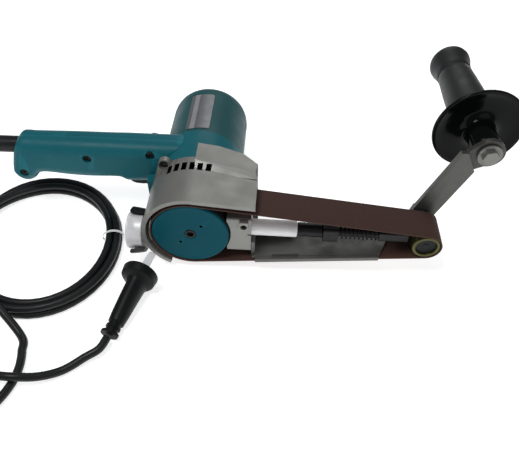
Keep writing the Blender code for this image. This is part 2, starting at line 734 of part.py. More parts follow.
def build_strap():
    half = 10.0
    outline = []
    for step in range(STRAP_STEPS + 1):
        angle = math.pi * step / STRAP_STEPS
        outline.append(strap_point(-half * math.sin(angle), -half * math.cos(angle)))
    outline += [strap_point(60.0, half), strap_point(73.0, -5.0), strap_point(71.0, -half)]
    strap = slab("grip_strap", outline, 36.0, 40.2, "steel")
    tab = arc(BOLT_X, BOLT_Z, 12.4, -95, 120, TAB_STEPS)
    tab += [strap_point(72.5, -4.5), strap_point(58.0, 2.5), strap_point(58.5, half - 1.0)]
    add(strap, slab("tab", tab, 39.4, 43.6, "steel"))
    pivot = ARM @ Vector((CENTRES, 0, 0))
    cut(strap, rod_y("pivot_hole", 3.4, 30, 50, "steel", x=pivot.x, z=pivot.z, steps=SMALL))
    cut(strap, rod_y("bolt_hole", 4.4, 30, 50, "steel", x=BOLT_X, z=BOLT_Z, steps=SMALL))
    clean(strap)
    set_origin(strap, (pivot.x, 38.0, pivot.z))
    nut_outline = [(pivot.x + x, pivot.z + z) for x, z in arc(0, 0, 7.6, 15, 315, 5)]
    nut = slab("strap_nut", nut_outline, 40.5, 46.4, "steel")
    cut(nut, rod_y("thread", 3.4, 30, 60, "steel", x=pivot.x, z=pivot.z, steps=SMALL))
    clean(nut)
    set_origin(nut, (pivot.x, 38.0, pivot.z))


def grip_lean():
    """Leans the grip a little towards the motor, about its bolt."""
    bolt = Vector((BOLT_X, BOLT_Y, BOLT_Z))
    return Matrix.Translation(bolt) @ Matrix.Rotation(GRIP_LEAN, 4, "Z") @ Matrix.Translation(-bolt)


def build_grip():
    lean = grip_lean()
    head_outline = [(BOLT_X + x, BOLT_Z + z) for x, z in arc(0, 0, 6.6, 10, 310, 5)]
    bolt = slab("grip_bolt", head_outline, 33.2, 37.0, "steel", lean)
    add(bolt, rod_y("washer", 9.6, 36.8, 38.6, "steel", x=BOLT_X, z=BOLT_Z, steps=SMALL, place=lean))
    add(bolt, rod_y("shank", 4.0, 38.0, 95.0, "steel", x=BOLT_X, z=BOLT_Z, steps=SMALL, place=lean))
    clean(bolt)
    spot = lean @ along_y(BOLT_X, BOLT_Z)
    grip = turned("side_grip", [(4.3, 81.0), (13.5, 81.0), (16.4, 81.6), (17.3, 91.0), (17.5, 103.0),
                                (17.0, 116.0), (16.2, 132.0), (15.4, 144.0), (15.2, 150.0),
                                (14.6, 150.6), (14.6, 151.6), (15.2, 152.2), (15.5, 157.0),
                                (16.6, 164.0), (17.9, 168.5), (18.3, 172.0), (17.6, 175.0),
                                (15.0, 176.8), (0, 177.2), (0, 98.0), (4.3, 98.0)], "grip", spot, MID,
                  ring=True)
    flange = turned("grip_flange", [(4.3, 44.6), (10.5, 44.6), (11.5, 46.4), (11.5, 67.0), (13.6, 70.4),
                                    (20.0, 71.6), (28.0, 72.2), (33.0, 71.2), (36.4, 69.4),
                                    (37.2, 70.0), (37.3, 71.8), (34.6, 74.8), (29.0, 77.0),
                                    (22.0, 78.0), (17.0, 80.4), (4.3, 80.6)], "gloss_black", spot, BIG,
                    ring=True)
    for piece in (bolt, grip, flange):
        set_origin(piece, (BOLT_X, BOLT_Y, BOLT_Z))


# ---------------------------------------------------------------- handle

HANDLE_STATIONS = (
    # x, bottom, top, half depth, corner
    (-172.0, 2.0, 30.0, 9.5, 9.0),
    (-170.0, -4.0, 34.4, 12.4, 10.0),
    (-166.0, -8.4, 36.6, 13.7, 10.4),
    (-160.0, -9.8, 37.0, 14.0, 10.6),
    (-154.0, -7.0, 37.0, 14.0, 11.0),
    (-149.0, -1.6, 37.0, 14.0, 11.4),
    (-140.0, 0.0, 37.0, 14.2, 11.6),
    (-120.0, -1.8, 37.0, 14.8, 12.0),
    (-100.0, -2.6, 36.9, 15.0, 12.0),
    (-80.0, -2.2, 36.7, 15.0, 12.0),
    (-72.0, -2.6, 36.6, 15.0, 11.6),
    (-66.0, -5.6, 36.5, 15.0, 11.2),
    (-44.0, -5.0, 36.2, 15.0, 11.2),
    (-24.0, -4.6, 36.0, 15.0, 11.2),
    (-8.0, -4.6, 35.8, 15.0, 11.2),
)


def leaned(x, z):
    """Leans the handle's end face over towards the motor as it rises."""
    share = min(max((LEAN_STOP - x) / LEAN_RUN, 0.0), 1.0)
    return x + END_LEAN * share * max(z - LEAN_FROM, 0.0)


def handle_ring(station, shrink, push=0.0):
    x, low, high, half, corner = station
    section = round_rect(HANDLE_Y - half + shrink, HANDLE_Y + half - shrink, low + shrink,
                         high - shrink, max(corner - shrink, 1.5))
    return [(leaned(x, z) + push, y, z) for y, z in section]


def build_hollow():
    rows = [handle_ring(station, SHELL) for station in HANDLE_STATIONS[2:]]
    rows.append(handle_ring(HANDLE_STATIONS[-1], SHELL, 6.0))
    return loft("hollow", rows, "teal")


TRIGGER_X = (-67.0, -45.5)
SCREWS = ((-160.0, 4.0), (-98.0, 23.0), (-41.5, 28.0))
SHELL = 2.6


def build_handle():
    for name, low, high in (("handle_front", 40.0, HANDLE_Y - GAP / 2),
                            ("handle_rear", HANDLE_Y + GAP / 2, 120.0)):
        half = loft(name, [handle_ring(station, 0.0) for station in HANDLE_STATIONS], "teal")
        cut(half, build_hollow())
        for x, z in SCREWS:
            add(half, rod_y("post", 5.4, HANDLE_Y - 12.5, HANDLE_Y + 12.5, "teal", x=x, z=z, steps=TINY))
        keep(half, block("side", (-200, 60), (low, high), (-60, 80), "teal"))
        cut(half, rod_y("collar_space", COLLAR_RADIUS + GAP, 30, 140, "teal", steps=BIG))
        for x, z in SCREWS:
            cut(half, rod_y("shank_hole", 2.2, 60, 90, "teal", x=x, z=z, steps=TINY))
            cut(half, rod_y("head_hole", 4.0, 50, 68.4, "teal", x=x, z=z, steps=TINY))
        cut(half, block("trigger_slot", (TRIGGER_X[0] - 0.6, TRIGGER_X[1] + 0.6), (72.4, 85.6),
                        (-20, 4), "teal"))
        cut(half, rod_x("cord_hole", 7.8, -180, -155, "teal", HANDLE_Y, CORD_Z, 32))
        if name == "handle_rear":
            cut(half, rod_y("button_hole", 4.9, 85, 120, "teal", x=-62, z=16, steps=SMALL))
        clean(half)
    for index, (x, z) in enumerate(SCREWS):
        screw = turned("handle_screw_%d" % (index + 1),
                       [(0, 66.0), (3.1, 66.0), (3.6, 66.4), (3.6, 68.1), (1.9, 68.1), (1.9, 89.0),
                        (0, 89.0)], "dark_steel", along_y(x, z), TINY)
        cut(screw, block("slot_a", (x - 2.2, x + 2.2), (65, 67.2), (z - 0.5, z + 0.5), "steel"))
        cut(screw, block("slot_b", (x - 0.5, x + 0.5), (65, 67.2), (z - 2.2, z + 2.2), "steel"))
        clean(screw)


def build_controls():
    outline = [(-66.8, 0.0), (-66.0, -8.6), (-62.0, -11.2), (-55.0, -12.0), (-48.0, -11.0),
               (-45.8, -9.0), (-45.8, 6.0), (-66.8, 6.0)]
    trigger = slab("trigger", outline, 72.9, 85.1, "black_plastic")
    set_origin(trigger, (-56, HANDLE_Y, -6))
    block("switch_body", (-74, -46), (69.5, 86.2), (12.0, 25.4), "black_plastic")
    profile = [(0, 89.0), (4.0, 89.0), (4.0, 91.6), (4.5, 91.8), (4.5, 96.2), (4.0, 96.9), (0, 97.1)]
    button = turned("lock_button", profile, "black_plastic", along_y(-62, 16), SMALL)
    set_origin(button, (-62, 93, 16))


# ---------------------------------------------------------------- label

def build_nameplate():
    sections = []
    for step in range(7):
        angle = math.radians(113 - 34 * step / 6)
        cos, sin = math.cos(angle), math.sin(angle)
        near, far = BARREL_RADIUS + GAP * 0.4, BARREL_RADIUS + 0.8
        sections.append([(near * cos, 96.0, near * sin), (near * cos, 149.0, near * sin),
                         (far * cos, 149.0, far * sin), (far * cos, 96.0, far * sin)])
    loft("nameplate", sections, "label", smooth=False)


# ---------------------------------------------------------------- mains lead

def smooth_route(points, count):
    """Catmull-Rom curve through the points, read at equal lengths."""
    fine = []
    ends = [points[0] * 2 - points[1]] + list(points) + [points[-1] * 2 - points[-2]]
    for i in range(1, len(ends) - 2):
        p0, p1, p2, p3 = ends[i - 1:i + 3]
        for k in range(24):
            t = k / 24
            fine.append(0.5 * ((2 * p1) + (p2 - p0) * t + (2 * p0 - 5 * p1 + 4 * p2 - p3) * t * t
                               + (3 * p1 - p0 - 3 * p2 + p3) * t * t * t))
    fine.append(points[-1])
    run = [0.0]
    for a, b in zip(fine, fine[1:]):
        run.append(run[-1] + (b - a).length)
    result = []
    index = 0
    for step in range(count):
        goal = run[-1] * step / (count - 1)
        while index < len(run) - 2 and run[index + 1] < goal:
            index += 1
        span = max(run[index + 1] - run[index], 1e-9)
        spot = fine[index].lerp(fine[index + 1], (goal - run[index]) / span)
        spot.z = max(spot.z, FLOOR_LINE)
        result.append(spot)
    return result


def cord_tube(name, points, count, look="rubber"):
    route = smooth_route([Vector(p) for p in points], count)
    curve = bpy.data.curves.new(name, "CURVE")
    curve.dimensions = "3D"
    curve.bevel_depth = CORD_RADIUS * MM
    curve.bevel_resolution = 2
    curve.use_fill_caps = True
    line = curve.splines.new("POLY")
    line.points.add(count - 1)
    for spot, point in zip(line.points, route):
        spot.co = (*(point * MM), 1.0)
    obj = bpy.data.objects.new(name, curve)
    bpy.context.scene.collection.objects.link(obj)
    colour, roughness, metallic = LOOKS[look]
    curve.materials.append(make_material(name + "_look", colour, roughness, metallic))
    return obj


FLOOR_LINE = TABLE + CORD_RADIUS + 0.1

FEED_ROUTE = (
    (-208.9, 79.0, 25.3), (-217.0, 79.0, 22.8), (-227.0, 78.0, 9.0), (-234.6, 75.0, -6.0),
    (-240.2, 69.0, -20.8), (-243.0, 58.0, -31.8), (-241.0, 44.0, FLOOR_LINE),
    (-234.0, 28.0, FLOOR_LINE), (-224.0, 10.0, FLOOR_LINE), (-219.6, 0.0, FLOOR_LINE),
)

TAIL_ROUTE = (
    (-133.2, -67.0, FLOOR_LINE), (-126.0, -78.0, FLOOR_LINE), (-120.0, -92.0, FLOOR_LINE),
    (-117.0, -108.0, FLOOR_LINE), (-119.0, -124.0, FLOOR_LINE), (-127.0, -140.0, FLOOR_LINE),
    (-142.0, -154.0, FLOOR_LINE), (-162.0, -161.0, FLOOR_LINE), (-182.0, -157.0, FLOOR_LINE),
    (-195.0, -143.0, FLOOR_LINE), (-194.0, -127.0, FLOOR_LINE), (-180.0, -115.0, FLOOR_LINE),
    (-160.0, -112.0, FLOOR_LINE), (-140.0, -116.0, FLOOR_LINE + 4.5),
    (-118.0, -119.0, FLOOR_LINE + 7.6), (-100.0, -115.6, FLOOR_LINE + 3.0),
    (-84.0, -108.0, FLOOR_LINE), (-70.0, -97.0, FLOOR_LINE + 1.0), (-60.6, -90.0, FLOOR_LINE + 2.3),
    (-56.4, -79.9, FLOOR_LINE + 3.2),
)


def coil_point(angle, out):
    x = (COIL_SHORT + out) * math.cos(angle)
    y = (COIL_LONG + out) * math.sin(angle)
    cos, sin = math.cos(COIL_TURN), math.sin(COIL_TURN)
    return COIL_X + x * cos - y * sin, COIL_Y + x * sin + y * cos


def build_coil():
    bm = bmesh.new()
    around, across = 36, 8
    height = TABLE + COIL_HALF_HEIGHT
    rows = []
    for step in range(around):
        angle = 2 * math.pi * step / around
        row = []
        for k in range(across):
            turn = 2 * math.pi * k / across
            x, y = coil_point(angle, COIL_HALF_WIDTH * math.cos(turn))
            row.append(bm.verts.new((x, y, height + COIL_HALF_HEIGHT * math.sin(turn))))
        rows.append(row)
    for low, high in zip(rows, rows[1:] + rows[:1]):
        join_rows(bm, low, high, across)
    finish("cord_coil", bm, "rubber")


TIE_ANGLE = math.radians(-12.0)


def build_tie():
    """The twist tie goes over the top and down both sides, stopping above the table."""
    sections = []
    for step in range(11):
        turn = math.radians(-20 + 220 * step / 10)
        row = []
        for swing, grow in ((-0.016, 0.35), (0.016, 0.35), (0.016, 1.25), (-0.016, 1.25)):
            out = (COIL_HALF_WIDTH + grow) * math.cos(turn)
            x, y = coil_point(TIE_ANGLE + swing, out)
            z = TABLE + COIL_HALF_HEIGHT + (COIL_HALF_HEIGHT + grow) * math.sin(turn)
            row.append((x, y, z))
        sections.append(row)
    loft("cord_tie", sections, "white")


def build_strain_relief():
    profile = [(3.6, -207.6), (4.6, -207.6), (5.2, -204.0), (6.6, -195.0), (7.3, -185.0), (7.5, -175.0),
               (7.5, -156.9), (8.5, -156.9), (8.5, -154.4), (3.6, -154.4)]
    turned("strain_relief", profile, "rubber", along_x(HANDLE_Y, CORD_Z), SMALL, ring=True)


PLUG_START = Vector((-56.0, -78.8, TABLE + 6.6))
PIN_TILT = math.radians(114.0)
PLUG_AXIS = Vector((0.27, 0.963, 0.0)).normalized()


def plug_place():
    side = Vector((0, 0, 1)).cross(PLUG_AXIS)
    up = PLUG_AXIS.cross(side)
    turn = Matrix((side, up, PLUG_AXIS)).transposed().to_4x4()
    return Matrix.Translation(PLUG_START) @ turn


def build_plug():
    place = plug_place()
    sections = []
    # distance along the plug, half width, half height
    stations = ((0.6, 4.2, 4.2), (1.0, 7.4, 6.0), (3.2, 7.6, 6.0), (3.8, 5.0, 4.8), (6.4, 5.2, 5.0),
                (6.9, 6.2, 5.8), (8.8, 6.2, 5.8), (9.3, 5.3, 5.2), (11.6, 5.4, 5.4), (12.1, 6.6, 6.2),
                (20.0, 7.2, 7.6), (34.0, 7.7, 9.4), (48.0, 8.2, 11.0), (51.0, 14.6, 14.4),
                (58.6, 15.4, 15.0), (59.8, 14.6, 14.2))
    for along, wide, high in stations:
        middle = max(0.0, TABLE + high + 0.1 - PLUG_START.z)
        row = []
        for k in range(14):
            a = 2 * math.pi * k / 14
            row.append((wide * math.cos(a), middle + high * math.sin(a), along))
        sections.append(row)
    loft("plug_body", sections, "black_plastic", place)
    middle = TABLE + 15.1 - PLUG_START.z
    for name, side in (("plug_pin_1", -6.35), ("plug_pin_2", 6.35)):
        turn = Matrix.Translation((0, middle, 0)) @ Matrix.Rotation(PIN_TILT, 4, "Z")
        corners = [(side + x, y, 60.1) for x in (-0.75, 0.75) for y in (-3.15, 3.15)]
        corners += [(side + x, y, 75.6) for x in (-0.75, 0.75) for y in (-3.15, 3.15)]
        corners += [(side + x, y, 77.4) for x in (-0.3, 0.3) for y in (-2.3, 2.3)]
        hull(name, corners, "steel", place @ turn)


def stand_on_base():
    """Moves the pulley-centred model so that the origin is the middle of its footprint."""
    for piece in bpy.data.objects:
        piece.location += BASE_SHIFT * MM


def main():
    clear_scene()
    build_casting()
    build_casting_screw()
    build_dust_port()
    build_collar()
    build_housing()
    build_motor()
    build_countershaft()
    build_drive()
    build_belt()
    build_holder()
    build_arm()
    build_strap()
    build_grip()
    build_handle()
    build_controls()
    build_nameplate()
    build_strain_relief()
    build_coil()
    build_tie()
    cord_tube("cord_feed", FEED_ROUTE, 20)
    cord_tube("cord_tail", TAIL_ROUTE, 40)
    build_plug()
    stand_on_base()


main()
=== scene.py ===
"""Looks, cord, light and camera for the belt grinder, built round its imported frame.

Shapes are worked out in millimetres from the pulley's centre, with X along the belt arm,
Y along the motor and Z up, and are moved onto the frame when each piece is finished.
"""
import json
import math

import bmesh
import bpy
from mathutils import Matrix, Vector

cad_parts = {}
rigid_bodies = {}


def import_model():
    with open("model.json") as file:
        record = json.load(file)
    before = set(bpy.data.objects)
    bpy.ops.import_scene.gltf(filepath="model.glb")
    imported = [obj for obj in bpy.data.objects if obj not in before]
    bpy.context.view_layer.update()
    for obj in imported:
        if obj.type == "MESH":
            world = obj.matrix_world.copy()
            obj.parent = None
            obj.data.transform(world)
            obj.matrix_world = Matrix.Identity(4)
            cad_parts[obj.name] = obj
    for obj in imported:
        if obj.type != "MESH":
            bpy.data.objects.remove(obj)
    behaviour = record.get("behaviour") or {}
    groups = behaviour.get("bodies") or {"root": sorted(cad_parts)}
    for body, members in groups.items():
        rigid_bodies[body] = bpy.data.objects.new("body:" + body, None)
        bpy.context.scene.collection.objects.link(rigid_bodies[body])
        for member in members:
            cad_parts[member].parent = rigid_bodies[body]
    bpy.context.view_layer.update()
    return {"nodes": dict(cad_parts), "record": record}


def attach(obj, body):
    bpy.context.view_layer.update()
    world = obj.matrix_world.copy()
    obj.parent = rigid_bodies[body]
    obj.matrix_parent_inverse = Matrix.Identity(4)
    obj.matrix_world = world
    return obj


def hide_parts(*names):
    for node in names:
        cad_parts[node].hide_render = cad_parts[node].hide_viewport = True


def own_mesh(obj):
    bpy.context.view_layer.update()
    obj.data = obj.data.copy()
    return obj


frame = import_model()
NODE_BODY = {node: body for body, nodes in frame["record"]["behaviour"]["bodies"].items()
             for node in nodes}

MM = 0.001
GAP = 0.3
BIG = 112
MID = 72
SMALL = 40
TINY = 28
GUARD_STEPS = 90
WHEEL_STEPS = 96
ROLLER_STEPS = 40
STRAP_STEPS = 32
TAB_STEPS = 40

BELT_WIDTH = 30.0
BELT_THICK = 1.0
BELT_FRONT = -1.0
TYRE_RADIUS = 32.3
ROLLER_RADIUS = 11.6
CENTRES = 193.7
ARM_TILT = math.radians(1.48)
ARM_Y = 13.0
TUBE_RADIUS = 6.9
ROD_RADIUS = 4.0
ROD_BORE = 4.4
SPRING_NEAR = 122.6
SPRING_FAR = 156.0

GUARD_RADIUS = 40.0
GUARD_WALL = 3.4
GUARD_FRONT = -2.0
WALL_FRONT = 34.6
WALL_BACK = 38.2
SKIRT_BACK = 52.0
GUARD_END = 54.0
LUG_FRONT = 46.2
CASTING_SCREW = (-25.4, 34.8)
HOLDER_BACK = 31.5

BARREL_RADIUS = 36.6
BARREL_FRONT = 92.3
BARREL_END = 166.2
BARREL_BORE = 33.2
BRUSH_Y = 146.0
COLLAR_RADIUS = 38.0

HANDLE_Y = 79.0
END_LEAN = 0.335
LEAN_FROM = 3.3
LEAN_STOP = -145.0
LEAN_RUN = 27.0
CORD_Z = 25.6
TABLE = -40.0

STRAP_ANGLE = math.radians(67.3)
BOLT_X = 234.0
BOLT_Y = 39.0
BOLT_Z = 62.0
GRIP_LEAN = math.radians(2.75)

CORD_RADIUS = 3.3
COIL_X = -139.0
COIL_Y = 16.0
COIL_LONG = 74.0
COIL_SHORT = 64.0
COIL_TURN = math.radians(22.0)
COIL_HALF_WIDTH = 8.4
COIL_HALF_HEIGHT = 6.4
PORT_Y = 15.0
PORT_Z = -13.0
PORT_ROOT = -42.0
LATCH_MIDDLE = 50.0
LATCH_REACH = 27.0
LATCH_STEPS = 24
FLOOR_LINE = TABLE + CORD_RADIUS + 0.1

ARM = Matrix.Rotation(ARM_TILT, 4, "Y")
BASE_SHIFT = Vector((-31.0, -86.8, -TABLE))
STRAP_PIVOT = ARM @ Vector((CENTRES, 0, 0))


def in_scene(name, data):
    """A new object of that data in the scene."""
    made = bpy.data.objects.new(name, data)
    bpy.context.scene.collection.objects.link(made)
    return made


# ---- materials

class Paint:
    """A procedural material read from the piece's own coordinates."""

    def __init__(self, name, colour, rough, metal=0.0, shine=0.3):
        self.material = bpy.data.materials.new(name)
        self.material.use_nodes = True
        self.tree = self.material.node_tree
        self.shader = self.tree.nodes["Principled BSDF"]
        self.shader.inputs["Metallic"].default_value = metal
        self.shader.inputs["Specular IOR Level"].default_value = shine
        self.rough = rough
        self.heights = []
        self.place = self.node("ShaderNodeTexCoord").outputs["Object"]
        base = self.node("ShaderNodeRGB")
        base.outputs[0].default_value = (*colour, 1.0)
        self.colour = base.outputs[0]

    def node(self, kind, inputs=None, **values):
        """A new node with its own settings and the values of its inputs."""
        made = self.tree.nodes.new(kind)
        for key, value in values.items():
            setattr(made, key, value)
        for key, value in (inputs or {}).items():
            made.inputs[key].default_value = value
        return made

    def join(self, start, end):
        self.tree.links.new(start, end)

    def stretched(self, stretch):
        if stretch is None:
            return self.place
        mapping = self.node("ShaderNodeMapping", {"Scale": stretch})
        self.join(self.place, mapping.inputs["Vector"])
        return mapping.outputs[0]

    def noise(self, scale, detail=4.0, stretch=None):
        made = self.node("ShaderNodeTexNoise", {"Scale": scale, "Detail": detail})
        self.join(self.stretched(stretch), made.inputs["Vector"])
        return made.outputs["Fac"]

    def cells(self, scale):
        made = self.node("ShaderNodeTexVoronoi", {"Scale": scale})
        self.join(self.place, made.inputs["Vector"])
        return made.outputs["Distance"]

    def waves(self, scale, direction):
        made = self.node("ShaderNodeTexWave", {"Scale": scale, "Distortion": 0.5}, bands_direction=direction)
        self.join(self.place, made.inputs["Vector"])
        return made.outputs["Fac"]

    def between(self, value, low, high, start, stop):
        made = self.node("ShaderNodeMapRange", {"From Min": low, "From Max": high, "To Min": start,
                                                "To Max": stop})
        self.join(value, made.inputs["Value"])
        return made.outputs[0]

    def tint(self, share, colour):
        """Blends another colour in where share is high."""
        made = self.node("ShaderNodeMix", {"B": (*colour, 1.0)}, data_type="RGBA")
        self.join(share, made.inputs["Factor"])
        self.join(self.colour, made.inputs["A"])
        self.colour = made.outputs["Result"]

    def patches(self, noise, low, high, amount, colour):
        """Blends another colour in where the noise is high."""
        self.tint(self.between(noise, low, high, 0.0, amount), colour)

    def edges(self, colour, amount):
        """Worn, lighter convex edges."""
        pointed = self.node("ShaderNodeNewGeometry").outputs["Pointiness"]
        self.patches(pointed, 0.52, 0.6, amount, colour)

    def bump(self, height, depth):
        self.heights.append((height, depth))

    def done(self, rough_noise, swing):
        """Stacks the bumps, varies the roughness and gives the finished material."""
        previous = None
        for height, depth in self.heights:
            made = self.node("ShaderNodeBump", {"Distance": depth, "Strength": 1.0})
            self.join(height, made.inputs["Height"])
            if previous is not None:
                self.join(previous, made.inputs["Normal"])
            previous = made.outputs["Normal"]
        if previous is not None:
            self.join(previous, self.shader.inputs["Normal"])
        rough = self.between(rough_noise, 0.3, 0.7, self.rough - swing, self.rough + swing)
        self.join(rough, self.shader.inputs["Roughness"])
        self.join(self.colour, self.shader.inputs["Base Color"])
        return self.material


def scaled(colour, factor):
    return tuple(min(1.0, part * factor) for part in colour)


def moulded(name, colour, rough, grain=1400.0, depth=0.00002, shine=0.3, worn=1.8):
    """Moulded plastic: fine texture, faint cloudiness, scuffed edges."""
    paint = Paint(name, colour, rough, shine=shine)
    paint.patches(paint.noise(28.0, 5.0), 0.35, 0.75, 0.5, scaled(colour, 0.78))
    paint.patches(paint.noise(90.0, 6.0), 0.55, 0.8, 0.35, scaled(colour, 1.35))
    scuff = paint.noise(260.0, 8.0, (1.0, 0.25, 4.0))
    paint.patches(scuff, 0.62, 0.72, 0.25, scaled(colour, worn))
    paint.edges(scaled(colour, worn), 0.5)
    paint.bump(paint.noise(grain, 3.0), depth)
    paint.bump(scuff, depth * 0.5)
    return paint.done(paint.noise(70.0, 6.0), 0.07)


def cast_metal(name, colour, rough):
    """Bare sand casting: orange-peel grain, dark pits, rubbed edges."""
    paint = Paint(name, colour, rough, 0.55)
    paint.patches(paint.noise(22.0, 6.0), 0.35, 0.75, 0.45, scaled(colour, 0.8))
    pits = paint.noise(900.0, 6.0)
    paint.patches(pits, 0.6, 0.75, 0.45, scaled(colour, 0.55))
    paint.edges((0.36, 0.36, 0.34), 0.6)
    paint.bump(paint.noise(420.0, 4.0), 0.00007)
    paint.bump(pits, 0.00003)
    return paint.done(paint.noise(60.0, 6.0), 0.08)


def brushed(name, colour, rough, stretch, worn=1.4, metal=1.0):
    """Drawn or turned steel: fine lines along the stretch, small stains."""
    paint = Paint(name, colour, rough, metal)
    lines = paint.noise(1500.0, 4.0, stretch)
    paint.patches(lines, 0.4, 0.7, 0.35, scaled(colour, 0.72))
    paint.patches(paint.noise(55.0, 7.0), 0.55, 0.75, 0.4, scaled(colour, 0.6))
    paint.edges(scaled(colour, worn), 0.5)
    paint.bump(lines, 0.000015)
    return paint.done(paint.noise(140.0, 6.0), 0.08)


def rubbery(name, colour, rough, shine=0.2):
    """Soft rubber: fine skin, dusty patches, a few scuffs."""
    paint = Paint(name, colour, rough, shine=shine)
    paint.patches(paint.noise(45.0, 6.0), 0.45, 0.8, 0.5, scaled(colour, 1.9))
    skin = paint.noise(1800.0, 3.0)
    paint.bump(skin, 0.00002)
    paint.bump(paint.noise(300.0, 5.0), 0.00003)
    return paint.done(paint.noise(60.0, 7.0), 0.12)


def grit(name):
    """Resin-bonded abrasive grains on cloth, with small specks of painted glint on the grains and loaded
    patches.
    """
    colour = (0.030, 0.0138, 0.0130)
    paint = Paint(name, colour, 0.72, shine=0.12)
    paint.patches(paint.noise(30.0, 6.0), 0.4, 0.75, 0.45, (0.027, 0.014, 0.014))
    grains = paint.cells(1500.0)
    paint.patches(grains, 0.35, 0.62, 0.6, (0.02, 0.009, 0.009))
    # small light specks: painted glint standing in for light catching the grains
    paint.patches(paint.noise(2600.0, 2.0), 0.66, 0.74, 0.8, (0.20, 0.11, 0.10))
    paint.edges((0.17, 0.10, 0.08), 0.7)
    paint.bump(grains, 0.00018)
    paint.bump(paint.noise(3200.0, 4.0), 0.00010)
    return paint.done(paint.noise(1800.0, 3.0), 0.15)


def cloth(name, colour):
    """The belt's woven backing."""
    paint = Paint(name, colour, 0.85)
    paint.patches(paint.noise(40.0, 6.0), 0.4, 0.7, 0.5, scaled(colour, 0.6))
    warp = paint.waves(420.0, "X")
    weft = paint.waves(420.0, "Y")
    paint.patches(warp, 0.0, 1.0, 0.3, scaled(colour, 1.5))
    paint.bump(warp, 0.00005)
    paint.bump(weft, 0.00005)
    return paint.done(paint.noise(300.0, 4.0), 0.08)


LOOKS = {
    "teal": moulded("teal_plastic", (0.012, 0.132, 0.162), 0.38, 1300.0, 0.000022, 0.12, 1.5),
    "barrel": moulded("teal_barrel", (0.020, 0.092, 0.102), 0.46, 1300.0, 0.00003, 0.14, 1.5),
    "disc": moulded("teal_disc", (0.002, 0.076, 0.104), 0.34, 900.0, 0.000015, 0.05, 1.6),
    "cast": cast_metal("cast_alloy", (0.080, 0.082, 0.075), 0.44),
    # near-black painted shade for the walls of the casting's rear bore and vent slots, which are cast alloy
    "cavity": moulded("dark_inside", (0.004, 0.004, 0.004), 0.9, 900.0, 0.00002, 0.03, 1.5),
    # arm tube and plug pins: their real silver, plus a near-white matt base with no metal that is painted
    # reflection standing in for polished metal's bright reflections
    "silver": brushed("bright_tube", (0.93, 0.93, 0.94), 0.42, (0.05, 1.0, 1.0), 1.05, 0.0),
    "port": brushed("silver_port", (0.90, 0.90, 0.92), 0.38, (1.0, 0.4, 0.4), 1.1, 0.15),
    "steel": brushed("plain_steel", (0.20, 0.20, 0.19), 0.36, (0.12, 1.0, 1.0), 1.6, 0.8),
    "plate": brushed("platen_steel", (0.115, 0.115, 0.110), 0.48, (0.12, 1.0, 1.0), 1.8, 0.5),
    "strap": brushed("zinc_strap", (0.075, 0.075, 0.070), 0.42, (1.0, 1.0, 0.15), 1.8, 0.5),
    "bolt": brushed("zinc_bolt", (0.19, 0.19, 0.175), 0.38, (1.0, 1.0, 1.0), 1.8, 0.6),
    "dark_steel": brushed("black_steel", (0.010, 0.010, 0.011), 0.36, (0.3, 1.0, 1.0), 3.0, 0.3),
    "brass": brushed("roller_brass", (0.085, 0.082, 0.030), 0.34, (1.0, 0.1, 1.0), 2.4, 0.8),
    "rubber": rubbery("cord_rubber", (0.0125, 0.0135, 0.0145), 0.36, 0.22),
    "tyre": rubbery("tyre_rubber", (0.010, 0.010, 0.010), 0.75, 0.1),
    "black_plastic": moulded("black_plastic", (0.006, 0.007, 0.0075), 0.42, 1500.0, 0.00003, 0.16, 3.0),
    "gloss_black": moulded("gloss_black", (0.0022, 0.003, 0.0028), 0.13, 700.0, 0.000004, 0.1, 3.5),
    "grip": moulded("grip_rubber", (0.018, 0.0198, 0.0205), 0.48, 1100.0, 0.00004, 0.25, 2.0),
    "belt": grit("abrasive_grit"),
    "belt_back": cloth("belt_cloth", (0.08, 0.04, 0.032)),
    "copper": brushed("copper", (0.55, 0.25, 0.12), 0.35, (1.0, 0.1, 1.0)),
    "label": brushed("label_foil", (0.15, 0.158, 0.168), 0.36, (1.0, 0.1, 1.0), 1.3, 0.4),
    "label_band": brushed("label_band", (0.38, 0.39, 0.41), 0.3, (1.0, 0.1, 1.0), 1.3, 0.5),
    "white": moulded("white_tie", (0.92, 0.92, 0.90), 0.5, 900.0, 0.00002, 0.3, 1.1),
    "carbon": rubbery("carbon", (0.03, 0.03, 0.03), 0.6),
}

# pieces whose finish differs from the rest of their kind
RELOOK = {"grip_strap": "strap", "strap_nut": "bolt", "grip_bolt": "bolt", "platen": "plate"}

# CAD nodes out of sight keep their own shape and take a finish
KEPT_NODES = {
    "steel": ("armature", "field_core", "motor_bearing_front", "motor_bearing_rear", "spindle_bearing",
              "countershaft", "spindle"),
    "copper": ("commutator",),
    "carbon": ("brush_left", "brush_right"),
    "cast": ("bearing_plate", "pulley_hub"),
    "black_plastic": ("motor_fan", "switch_body", "brush_cap_left", "brush_cap_right"),
}

# width of the rounded edges of each new piece, in millimetres
EDGE = {
    "gear_casting": 0.7, "handle_front": 0.35, "handle_rear": 0.35, "motor_housing": 0.5, "motor_collar": 0.4,
    "idler_fork": 0.5, "grip_strap": 0.35, "platen": 0.25, "arm_holder": 0.6, "pulley_cover": 0.25,
    "plug_body": 0.3, "trigger": 0.8, "grip_bolt": 0.3, "strap_nut": 0.3, "tension_nut": 0.4,
}
PLAIN_EDGE = 0.2
EDGE_ANGLE = math.radians(32.0)
SMOOTH = ("abrasive_belt", "tension_spring", "side_grip", "grip_flange", "nameplate", "cord_tie")


# ---- shape helpers

def along_y(x, z):
    """Local Z becomes +Y, local X stays X, through the point x, z."""
    return Matrix(((1, 0, 0, x), (0, 0, 1, 0), (0, -1, 0, z), (0, 0, 0, 1)))


def along_x(y, z):
    """Local Z becomes +X, through the point y, z."""
    return Matrix(((0, 0, 1, 0), (1, 0, 0, y), (0, 1, 0, z), (0, 0, 0, 1)))


